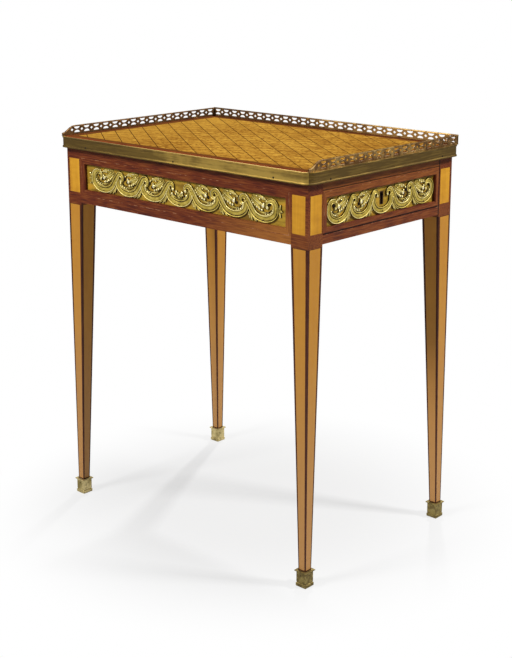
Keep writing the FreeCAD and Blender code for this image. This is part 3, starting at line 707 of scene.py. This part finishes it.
# Buttons: place and size as shares, and how bright: 0 for a dark one, painted
# shadow standing for a hollow, up to 1 and past it for a bright one with a painted glint.
# The curled tip of the leaf stands between two hollows, beside the hollow eye of the
# scroll, all three painted shadow; then come the scallops of its edge, its veins and a row of beads
bowl_buttons_shares = (
    (0.02, 0.10, 0.075, 1.2), (0.00, 0.19, 0.045, 1.1), (-0.05, 0.05, 0.060, 0.0), (0.115, 0.13, 0.048, 0.0),
    (-0.165, 0.19, 0.075, 0.0), (-0.10, 0.29, 0.045, 0.9),
    (0.06, -0.045, 0.050, 1.1), (0.145, -0.02, 0.045, 1.0), (0.22, 0.035, 0.045, 1.1),
    (0.29, 0.09, 0.040, 0.9), (0.35, 0.16, 0.040, 1.0), (0.39, 0.24, 0.036, 0.9),
    (0.11, -0.075, 0.036, 0.0), (0.19, -0.045, 0.036, 0.0), (0.265, 0.015, 0.034, 0.0),
    (0.33, 0.075, 0.034, 0.0), (0.12, 0.34, 0.030, 1.1), (0.02, 0.40, 0.030, 1.0),
    (0.23, 0.43, 0.030, 1.1), (0.31, 0.33, 0.028, 0.9), (-0.31, -0.01, 0.034, 1.0),
    (-0.28, -0.08, 0.036, 1.1), (-0.225, -0.135, 0.036, 1.0), (-0.15, -0.17, 0.036, 1.1),
    (-0.07, -0.185, 0.034, 0.9), (-0.23, -0.04, 0.036, 0.0), (-0.17, -0.10, 0.036, 0.0),
    (-0.09, -0.125, 0.034, 0.0),
)
spandrel_leaves_shares = (
    ((0.43, -0.18), (0.49, -0.31), (0.455, -0.42), 0.13, 1.0),
    ((0.41, -0.24), (0.44, -0.38), (0.37, -0.475), 0.12, 1.0),
    ((0.39, -0.29), (0.33, -0.42), (0.23, -0.485), 0.08, 1.0),
    ((0.46, -0.14), (0.52, -0.22), (0.505, -0.32), 0.08, 1.0),
)
middle_leaves_shares = (
    ((0.02, -0.24), (0.00, -0.06), (0.10, 0.05), 0.24, 0.80),
    ((0.06, -0.24), (0.24, -0.22), (0.27, -0.04), 0.20, 0.85),
)
# The sprig's buttons, the same; the dark ones are painted shadow
middle_buttons_shares = (
    (0.11, 0.05, 0.058, 1.1), (0.05, -0.03, 0.045, 0.0), (0.27, -0.04, 0.052, 1.1), (0.20, -0.09, 0.045, 0.0),
    (0.13, -0.04, 0.040, 0.9), (0.00, -0.14, 0.050, 1.0), (0.10, -0.15, 0.034, 0.0),
)
bud_leaves_shares = (
    ((-0.47, 0.02), (-0.55, 0.10), (-0.56, 0.24), 0.12, 1.0),
    ((-0.47, 0.00), (-0.58, 0.02), (-0.62, -0.01), 0.12, 1.0),
    ((-0.47, -0.02), (-0.55, -0.12), (-0.56, -0.22), 0.12, 1.0),
)


def turn(centre, radii, start, end, steps, close=1.0):
    """Points on an ellipse that may draw in towards its end."""
    points = []
    for i in range(steps + 1):
        part = i / steps
        angle = math.radians(start + (end - start) * part)
        shrink = 1 + (close - 1) * part
        u = centre[0] + radii[0] * shrink * math.cos(angle)
        v = centre[1] + radii[1] * shrink * math.sin(angle)
        points.append(Vector((u, v)))
    return points


def across_path(path):
    """The unit direction to the left of a path at each of its points."""
    left = []
    for i in range(len(path)):
        along = path[min(i + 1, len(path) - 1)] - path[max(i - 1, 0)]
        along.normalize()
        left.append(Vector((-along.y, along.x)))
    return left


def smooth_path(path, count):
    """As many points as asked, evenly spaced along a rounded path."""
    for _ in range(3):
        inner = [(a + 2 * b + c) / 4 for a, b, c in zip(path, path[1:], path[2:])]
        path = [path[0]] + inner + [path[-1]]
    run = [0.0]
    for a, b in zip(path, path[1:]):
        run.append(run[-1] + (b - a).length)
    points, k = [], 0
    for i in range(count):
        goal = run[-1] * i / (count - 1)
        while k < len(run) - 2 and run[k + 1] < goal:
            k += 1
        share = (goal - run[k]) / (run[k + 1] - run[k])
        points.append(path[k].lerp(path[k + 1], min(1, share)))
    return points


class Casting:
    """One mount: its points on the panel, how bright each is, worn and with painted highlight and shade, and
    its faces.
    """

    def __init__(self, ground):
        self.ground = ground
        self.points, self.faces, self.rubs_and_light = [], [], []

    def add(self, sections):
        rings = [[self.ground.point(u, v, h) for u, v, h, rub_and_light in section] for section in sections]
        self.rubs_and_light += [rub_and_light for section in sections for u, v, h, rub_and_light in section]
        add_tube(self.points, self.faces, rings)

    def band_along(self, path, width_at, branches):
        """The channelled band; one that branches off another climbs out of it."""
        sections = []
        for i, (middle, left) in enumerate(zip(path, across_path(path))):
            part = i / (len(path) - 1)
            half = width_at(part) / 2
            climb = min(1.0, branch_sunk_share + part * branch_climb) if branches else 1.0
            section = []
            for place, height, rub_and_light in band_section_shares:
                point = middle + left * half * place
                section.append((point.x, point.y, mount_rise * height * climb, rub_and_light * climb))
            sections.append(section)
        self.add(sections)

    def ball(self, centre, radius, rise, rub_and_light=1.0):
        """A round button, brightest at its top, a painted highlight; where it stands for a hollow it is dark,
        a painted shadow.
        """
        turns = [2 * math.pi * j / ball_sides for j in range(ball_sides)]
        sections = []
        for k in range(ball_rings):
            angle = math.pi / 2 * k / (ball_rings - 0.5)
            out = radius * math.cos(angle)
            height = rise * (0.45 + 0.55 * math.sin(angle)) if k else 0.0
            shine = 0.05 + 0.9 * rub_and_light * math.sin(angle)
            ring = [(centre.x + out * math.cos(t), centre.y + out * math.sin(t)) for t in turns]
            sections.append([(u, v, height, shine) for u, v in ring])
        self.add(sections)

    def leaf(self, base, bend, tip, width, rise, seed):
        """An acanthus lobe: hollow each side of its rib, and curled up at its tip."""
        notch = random.Random(seed).uniform(*leaf_notch_shares)
        parts = [i / leaf_steps for i in range(leaf_steps + 1)]
        path = [base * (1 - t) ** 2 + bend * 2 * t * (1 - t) + tip * t ** 2 for t in parts]
        sections = []
        for t, middle, left in zip(parts, path, across_path(path)):
            swell = math.sin(math.pi * (0.12 + 0.88 * t) ** 0.85) ** 0.8 if t < 1 else 0.0
            wave = 1 - notch * (0.5 + 0.5 * math.cos(t * 2 * leaf_notches * math.pi))
            half = max(width / 2 * swell * wave, width * 0.03)
            curl = 0.45 + 0.55 * math.sin(math.pi / 2 * min(1, t * 1.15))
            section = []
            for place, height, rub_and_light in leaf_section_shares:
                point = middle + left * half * place
                section.append((point.x, point.y, rise * height * curl, rub_and_light * (0.50 + 0.6 * t)))
            sections.append(section)
        self.add(sections)


def make_mount(side, bowls, margin, band, crest_radius, buds, sprig=True, body="table"):
    """A whole mount over the ground of its panel."""
    ground = Face(side, side + "_panel")
    pitch = (ground.length - 2 * margin) / bowls
    casting = Casting(ground)
    half_width = pitch / 2 - band / 2
    depth = mount_height / 2 - band / 2
    crest_rise = depth - crest_radius
    middle = (bowls - 1) // 2
    leave, turn_over = math.radians(bowl_leave), math.radians(crest_start)
    arm_foot = Vector((half_width * math.cos(leave) - pitch, depth * math.sin(leave)))
    arm_top = Vector((
        (crest_shift_share - 1) * pitch + crest_radius * math.cos(turn_over),
        crest_rise + crest_radius * math.sin(turn_over)))
    branch = arm_foot.lerp(arm_top, branch_join_share)
    button = band * crest_taper_share * scroll_button_share

    def leaves_at(rows, centre, hand, seed):
        for n, (base, bend, tip, width, rise) in enumerate(rows):
            ends = [Vector((centre + hand * u * pitch, v * mount_height)) for u, v in (base, bend, tip)]
            casting.leaf(*ends, width * mount_height, rise * mount_rise, seed * 10 + n)

    def buttons_at(rows, centre, hand):
        for u, v, size, rub_and_light in rows:
            place = Vector((centre + hand * u * pitch, v * mount_height))
            casting.ball(place, size * mount_height, mount_rise * (0.7 + 0.3 * rub_and_light), rub_and_light)

    def tapered(both_ends):
        """The band's width along a run that narrows at its end, or at both ends."""
        def width_at(t):
            tail = max(0.0, (t - (1 - taper_length_share)) / taper_length_share)
            head = max(0.0, (taper_length_share - t) / taper_length_share) if both_ends else 0.0
            return band * (1 - (1 - crest_taper_share) * max(tail, head))

        return width_at

    def middle_bowl():
        """The bowl that the others run out from, with its sprig."""
        path = turn((0, 0), (half_width, depth), bowl_start, bowl_mirrored, middle_steps)
        path = [branch] + path + [Vector((-branch.x, branch.y))]
        casting.band_along(smooth_path(path, middle_band_points), lambda t: band, True)
        for hand in (-1, 1) if sprig else ():
            leaves_at(middle_leaves_shares, 0, hand, 5)
            buttons_at(middle_buttons_shares, 0, hand)

    def outer_bowl(k):
        """One bowl with its crest, which curls over the next one."""
        centre = (k - middle) * pitch
        hand = 1 if k < middle else -1
        first = k in (0, bowls - 1)
        bowl = turn((0, 0), (half_width, depth), 180 if first else bowl_start, bowl_leave, bowl_steps)
        end = middle_crest_end if abs(k - middle) == 1 else crest_end
        hub = (crest_shift_share * pitch, crest_rise)
        crest = turn(hub, (crest_radius, crest_radius), crest_start, end, crest_steps, crest_close_share)
        if first:
            reach = (curl_width_share * half_width, curl_rise_share * depth)
            hub_out = (reach[0] - half_width, depth - reach[1])
            curl = turn(hub_out, reach, 180, curl_start, crest_steps, crest_close_share)[::-1]
            path = smooth_path(curl + bowl + crest, first_band_points)
        else:
            path = smooth_path([branch] + bowl + crest, band_points)
        path = [Vector((centre + hand * p.x, p.y)) for p in path]
        casting.band_along(path, tapered(both_ends=first), not first)
        casting.ball(path[-1], button, mount_rise)
        if first:
            casting.ball(path[0], button, mount_rise)
        leaves_at(bowl_leaves_shares + spandrel_leaves_shares, centre, hand, k + 11)
        buttons_at(bowl_buttons_shares, centre, hand)
        if first and buds:
            leaves_at(bud_leaves_shares, centre, hand, k + 31)

    for k in range(bowls):
        if k == middle:
            middle_bowl()
        else:
            outer_bowl(k)
    made = piece(side + "_scrolls", casting.points, casting.faces, gilt, body)
    # Wear of the gilding at each point, with painted highlight and painted shadow in it
    rubbed = made.data.attributes.new("rubbed", "FLOAT", "POINT")
    rubbed.data.foreach_set("value", casting.rubs_and_light)
    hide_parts(side + "_mount")


long_mount = {"bowls": 7, "margin": 0.018, "band": 0.0125, "crest_radius": 0.0085, "buds": True}
end_mount = {"bowls": 5, "margin": 0.004, "band": 0.0108, "crest_radius": 0.0075, "buds": False}
for side in ("front", "back"):
    make_mount(side, **long_mount)
make_mount("left", **end_mount)
for side in ("front", "back", "left"):
    domed_heads(side + "_mount_brads", side + "_mount_pins")


# The drawer: an amaranth front on an oak box that is dovetailed together, its
# bottom in grooves. The front has the same panel and mount, with a keyhole.
oak_dark = (0.165, 0.082, 0.030)
oak_mid = (0.325, 0.190, 0.085)
oak_light = (0.455, 0.292, 0.145)
oak_stops = ((0.30, oak_dark), (0.50, oak_mid), (0.72, oak_light))
oak_pores = 0.00015


def oak(name, along):
    """Planed oak, without polish."""
    finish = Finish(name)
    streaks, pores = grain(finish, along, 8)
    colour = finish.node("ValToRGB", {"stops": oak_stops}, {0: streaks})
    colour = finish.mix(colour, oak_dark, finish.ease(pores, 0.44, 0.30) * 0.7)
    finish.set(Base_Color=colour, Roughness=0.62 + pores * 0.2)
    finish.bump(pores, oak_pores, 0.6)
    return finish.material


oak_x = oak("oak_lengthwise", "x")
oak_y = oak("oak_crosswise", "y")
key_middle = 0.641
key_half_width = 0.0052
key_half_height = 0.0115


def key_marks(finish):
    """Black with handling, close round the keyhole and down it."""
    aside = abs(finish.part("Y")) / key_half_width
    above = abs(finish.part("Z") - key_middle) / key_half_height
    return finish.ease(finish.most(aside, above), 1.10, 0.90) * 0.95


def gap_shade_and_key_marks(finish):
    """Painted shade in the gaps round the drawer front, with the marks round its keyhole."""
    return finish.most(gap_shade(finish), key_marks(finish))


give("drawer_front", amaranth(
    "drawer_front_amaranth", "y", across="z", turned=upright_beside("drawer_panel", "Y"),
    dark=gap_shade_and_key_marks, worn=side_wear))
give("drawer_moulding", rail_amaranth["left"])
give("drawer_panel", ground("drawer_panel_satinwood", "y", dark=key_marks))
for node in ("drawer_side_front", "drawer_side_back"):
    give(node, oak_x)
for node in ("drawer_back", "drawer_bottom"):
    give(node, oak_y)
light_line("drawer", "drawer_front", "drawer")
make_mount("drawer", **end_mount, sprig=False, body="drawer")
domed_heads("drawer_mount_brads", "drawer_mount_pins", "drawer")


# The lock: a filed iron case let into the back of the drawer front, with a
# bright steel bolt that rises into the rail above.
lock_brown, lock_grey = (0.05, 0.036, 0.028), (0.16, 0.145, 0.135)
bolt_dull, bolt_bright = (0.25, 0.24, 0.23), (0.55, 0.54, 0.52)
file_stretch = (1, 1, 14)
file_marks = 0.0001


def iron(name, low, high, roughness):
    """Filed metal, darker in its low places."""
    finish = Finish(name, Metallic=0.85)
    cloud = finish.noise(even, 90, 4)
    marks = finish.noise(file_stretch, 120, 2)
    colour = finish.mix(low, high, cloud * 0.6 + marks * 0.4)
    finish.set(Base_Color=colour, Roughness=roughness + cloud * 0.2)
    finish.bump(marks, file_marks, 0.5)
    return finish.material


give("lock_body", iron("lock_iron", lock_brown, lock_grey, 0.45))
give("lock_bolt", iron("bolt_steel", bolt_dull, bolt_bright, 0.25))
soften("lock_bolt")


# Inside the carcase: oak runners, guides and kickers for the drawer, two
# stops behind it, and blocks glued under the top.
for node in ("runners", "guides", "kickers"):
    give(node, oak_x)
for node in ("drawer_stops", "glue_blocks"):
    give(node, oak_y)


# The top: an oak board with parquetry of lozenges in it, dark lines between
# them, and a border of amaranth mitred at the corners.
lozenge_length = 0.0476
lozenge_width = 0.0349
line_share = 0.050
strip_width = 0.014
strip_share = 0.92
bleach_reach = (-0.08, -0.30)
bleach_share = 0.40
top_pores = 0.00005
top_dark = (0.166, 0.067, 0.0092)
top_mid = (0.283, 0.137, 0.0180)
top_light = (0.409, 0.224, 0.0320)
top_fleck = (0.110, 0.038, 0.0050)
top_line = (0.030, 0.0100, 0.0040)
strip_wood = (0.085, 0.025, 0.0080)
top_stops = ((0.36, top_dark), (0.50, top_mid), (0.64, top_light))


def parquetry():
    """Lozenges with dark lines between them, each with its own piece of the grain."""
    finish = Finish("parquetry", **waxed)
    x = finish.part("X") / lozenge_length
    y = finish.part("Y") / lozenge_width
    ways = []
    for slope in (x + y + 0.5, x - y + 0.5):
        column = finish.sum("FLOOR", slope)
        edge = 0.5 - abs(slope - column - 0.5)
        ways.append((column, edge))
    (column, edge), (row, other_edge) = ways
    which = finish.node("CombineXYZ", {}, {0: column, 1: row})
    chance = finish.node("TexWhiteNoise", {"noise_dimensions": "3D"}, {"Vector": which}, out="Value")
    shifted = finish.place + which * (0.37, 0.61, 0.0)
    streaks = finish.noise((1, 5, 1), 60, 5, place=shifted)
    pores = finish.noise((1, 1.2, 1), 135, 3, place=shifted)
    cloud = finish.noise(even, 5, 2, 8.8)
    tone = streaks * 0.66 + chance * 0.06 + cloud * 0.28
    colour = finish.node("ValToRGB", {"stops": top_stops}, {0: tone})
    colour = finish.mix(colour, top_fleck, finish.ease(pores, 0.48, 0.34) * 0.8)
    bleached = finish.ease(finish.part("X"), *bleach_reach)
    colour = finish.mix(colour, top_light, bleached * bleach_share)
    near = finish.sum("MINIMUM", edge, other_edge)
    lines = finish.ease(near, line_share * 0.62, line_share * 0.38)
    colour = finish.mix(colour, top_line, lines)
    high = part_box("top_parquetry")[1]
    outside = finish.most(abs(finish.part("X")) - high.x, abs(finish.part("Y")) - high.y)
    colour = finish.mix(colour, strip_wood, (outside > -strip_width) * strip_share)
    finish.set(Base_Color=colour, Roughness=0.42 + streaks * 0.14)
    finish.bump(pores * 0.4 - lines, top_pores, 0.5)
    return finish.material


def border_turned(finish):
    """1 on the ends' strips of the border, whose veneer runs front to back."""
    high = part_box("top_border")[1]
    return abs(finish.part("X")) - high.x > abs(finish.part("Y")) - high.y


give("top_core", oak_x)
give("top_parquetry", parquetry())
give("top_border", amaranth("border_amaranth", "x", across="y", turned=border_turned, sheen=waxed))


# The edge of the top: a hollow brass band in four lengths that meet in the
# bends at the corners, nailed to the board.
band_low, band_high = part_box("edge_band_front")
lip = 0.0016
upper_lip_highlight_share = 0.10
lower_lip_shade_share = 0.25
band_shine_share = 0.26
band_dull_share = 0.16
nail_head_radius = 0.0019


def lit_edges(along, start, end):
    """Painted light on the band: a painted highlight along the upper lip, painted shade along the lower, and
    brighter from start to end.
    """
    def shine(finish):
        z = finish.part("Z")
        low = finish.ease(z, band_low.z + lip * 1.3, band_low.z + lip * 0.5)
        high = finish.ease(z, band_high.z - lip * 0.6, band_high.z - lip * 0.1)
        run = finish.ease(finish.part(along), start, end) * band_shine_share
        return high * upper_lip_highlight_share - low * lower_lip_shade_share + run - band_dull_share

    return shine


long_scratch, end_scratch = (0.12, 1, 2.2), (1, 0.12, 2.2)
long_band = brass("band_brass", yellow_brass, 0.30, long_scratch, lit_edges("X", -0.27, 0.09))
end_band = brass("end_band_brass", yellow_brass, 0.38, end_scratch, lit_edges("Y", 0.3, -1.2))
for side, metal in (("front", long_band), ("back", long_band), ("left", end_band), ("right", end_band)):
    give("edge_band_" + side, metal)
    soften("edge_band_" + side)
domed_heads("edge_band_nails", "edge_nails", head_radius=nail_head_radius)


# The gallery: sheet brass pierced with two rows of arches, soldered between a
# flat rail below and a rounded one above, and pegged into the top.
gallery_reach = (-0.22, 0.22)
gallery_shine_share = 0.20
gallery_dull_share = 0.08
# Painted shade on the right end of the gallery, which the right lamp lights: where it starts from the end,
# and how dark it is
right_end_shade_reach = (0.020, 0.012)
right_end_shade_share = 0.12


def gallery_shine(finish):
    """Brighter towards the right of the back run, and a painted shade on the right end."""
    x = finish.part("X")
    run = finish.ease(x, *gallery_reach) * gallery_shine_share
    right_end_shade = finish.ease(band_high.x - x, *right_end_shade_reach) * right_end_shade_share
    return run - gallery_dull_share - right_end_shade


gallery_brass = brass("gallery_brass", copper_brass, 0.40, rubbed=gallery_shine)
sheet_half = 0.0008
foot_height = 0.0034
arch_height = 0.0043
arch_half = 0.0071
arch_turns = 8
waist = 0.0022
diamond = ((-0.0036, 0.0), (0.0, -0.0030), (0.0036, 0.0), (0.0, 0.0030))
diamond_least_share = 0.9
cap_half = 0.0014
cap_height = 0.0015
cap_top_share = 0.6
foot_rail_share = 0.6
ramp_length = 0.030
ramp_low = 0.0052
ramp_power = 1.15
steps_per_unit = 4


def open_arch(middle, flat, rise):
    """An opening with one flat side, its round side rise away from it."""
    points = []
    for i in range(arch_turns + 1):
        angle = math.pi * i / arch_turns
        points.append((middle + arch_half * math.cos(angle), flat + rise * math.sin(angle)))
    return points


def pierced_sheet(outline, openings):
    """Points and faces of a sheet with openings, flat on its own plane."""
    curve = bpy.data.curves.new("sheet", "CURVE")
    curve.dimensions, curve.fill_mode, curve.extrude = "2D", "BOTH", sheet_half
    for ring in [outline] + openings:
        spline = curve.splines.new("POLY")
        spline.points.add(len(ring) - 1)
        for point, (u, v) in zip(spline.points, ring):
            point.co = (u, v, 0, 1)
        spline.use_cyclic_u = True
    drawn = bpy.data.objects.new("sheet", curve)
    mesh = drawn.to_mesh()
    flat = bmesh.new()
    flat.from_mesh(mesh)
    drawn.to_mesh_clear()
    bpy.data.objects.remove(drawn)
    bmesh.ops.remove_doubles(flat, verts=flat.verts, dist=touching)
    flat.verts.index_update()
    points = [vertex.co.copy() for vertex in flat.verts]
    faces = [tuple(vertex.index for vertex in face.verts) for face in flat.faces]
    flat.free()
    return points, faces


def gallery_run(side, units, ramp):
    """One side of the gallery; ramp is 1 or -1 where an end of it runs down."""
    across, out = side_axes["drawer" if side == "right" else side]
    node = "gallery_" + side
    low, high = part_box(node)
    middle = (low + high) / 2
    half = abs((high - low).dot(across)) / 2
    height = high.z - low.z
    pitch = 2 * half / units
    flats = (foot_height, 2 * arch_height + foot_height + waist)
    belly = foot_height + arch_height + waist / 2
    foot = Vector((middle.x, middle.y, low.z))
    up = Vector((0, 0, 1))

    def top_at(u):
        past = max(0.0, u * ramp - (half - ramp_length)) / ramp_length
        left = 0.5 + 0.5 * math.cos(math.pi * min(1.0, past) ** ramp_power)
        return ramp_low + (height - ramp_low) * left

    def standing(u, v, w):
        return foot + across * u + up * v + out * w

    steps = units * steps_per_unit if ramp else 1
    us = [-half + 2 * half * i / steps for i in range(steps + 1)]
    outline = [(-half, 0.0), (half, 0.0)] + [(u, top_at(u)) for u in reversed(us)]
    openings = []
    for i in range(units):
        centre = -half + pitch * (i + 0.5)
        least = top_at(centre + arch_half * ramp) - cap_height
        if least > foot_height + arch_height:
            openings.append(open_arch(centre, flats[0], arch_height))
        if least > flats[1]:
            openings.append(open_arch(centre, flats[1], -arch_height))
        edge = centre + pitch / 2
        if i < units - 1 and top_at(edge) > height * diamond_least_share:
            openings.append([(edge + u, belly + v) for u, v in diamond])
    sheet, faces = pierced_sheet(outline, openings)
    points = [standing(*p) for p in sheet]
    narrow = cap_half * cap_top_share
    rings = []
    for u in us:
        top = top_at(u)
        bottom = top - cap_height
        corners = ((-cap_half, bottom), (cap_half, bottom), (narrow, top), (-narrow, top))
        rings.append([standing(u, v, w) for w, v in corners])
    add_tube(points, faces, rings)
    rail_top = cap_height * foot_rail_share
    corners = ((-cap_half, 0), (cap_half, 0), (cap_half, rail_top), (-cap_half, rail_top))
    add_tube(points, faces, [[standing(u, v, w) for w, v in corners] for u in (-half, half)])
    made = piece("pierced_" + node, points, faces, gallery_brass, "table", smooth=False)
    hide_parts(node)


gallery_run("back", 26, 0)
gallery_run("left", 17, 1)
gallery_run("right", 17, -1)
domed_heads("gallery_peg_heads", "gallery_pegs")


# The studio: a pale floor that fades into white, soft lamps, and the camera
# where the photograph was taken from.
floor_reach = 9.0
floor_grey = (0.45, 0.45, 0.45)
fade_reach = (0.14, 0.54)
white_least_share = 0.50
room_light = 0.15
white_light = 1.0


def stage_floor():
    """Grey paper that takes the table's shadow, and fades into white round it."""
    mesh = bpy.data.meshes.new("studio_floor")
    corners = [(x * floor_reach, y * floor_reach, 0) for x, y in ((-1, -1), (1, -1), (1, 1), (-1, 1))]
    mesh.from_pydata(corners, [], [(0, 1, 2, 3)])
    finish = Finish("studio_paper", **{"Base Color": floor_grey, "Roughness": 0.9, "Specular IOR Level": 0.1})
    distance = finish.node("VectorMath", {"operation": "LENGTH"}, {0: finish.place}, out="Value")
    seen = finish.node("LightPath", {}, {}, out="Is Camera Ray")
    glow = finish.node("Emission", {}, {"Color": (1, 1, 1), "Strength": white_light})
    white = white_least_share + finish.ease(distance, *fade_reach) * (1 - white_least_share)
    finish.show(finish.node("MixShader", {}, {0: seen * white, 1: finish.shader, 2: glow}))
    mesh.materials.append(finish.material)
    placed("studio_floor", mesh)


def studio_world():
    """White where the camera looks past the floor, and a faint even light."""
    world = bpy.data.worlds.new("studio")
    nodes = Nodes(world, "OutputWorld")
    seen = nodes.node("LightPath", {}, {}, out="Is Camera Ray")
    room = nodes.node("Background", {}, {"Color": (1, 1, 1), "Strength": room_light})
    white = nodes.node("Background", {}, {"Color": (1, 1, 1), "Strength": white_light})
    nodes.show(nodes.node("MixShader", {}, {0: seen, 1: room, 2: white}))
    bpy.context.scene.world = world


def lamp(name, place, aim, size, power):
    """A square lamp, in metres and watts, that the camera doesn't see."""
    light = bpy.data.lights.new(name, "AREA")
    light.shape = "SQUARE"
    light.size = size
    light.energy = power
    made = placed(name, light)
    made.location = place
    made.visible_camera = False
    made.rotation_mode = "QUATERNION"
    made.rotation_quaternion = (Vector(aim) - Vector(place)).to_track_quat("-Z", "Y")


stage_floor()
studio_world()
lamp("front_lamp", (-0.62, -2.30, 2.35), (0, 0, 0.5), 0.7, 78)
lamp("right_lamp", (2.05, 1.00, 2.57), (0, 0, 0.5), 0.4, 94)
lamp("back_lamp", (-1.10, 1.94, 3.00), (0, 0, 0.3), 0.14, 72)

camera_place = (1.5927, -1.7112, 1.0506)
camera_turn = (76.526, 0.09, 42.888)
camera_shift = -0.1087
focal_pixels = 1295.16
image_height = 658.0
# The camera's sensor width lies along the picture's longer side
sensor_height = 36.0
camera_data = bpy.data.cameras.new("camera")
camera_data.sensor_width = sensor_height
camera_data.shift_y = camera_shift
camera_data.lens = sensor_height * focal_pixels / image_height
camera = placed("camera", camera_data)
camera.location = camera_place
camera.rotation_euler = [math.radians(angle) for angle in camera_turn]
bpy.context.scene.camera = camera
bpy.context.scene.view_settings.view_transform = "Standard"
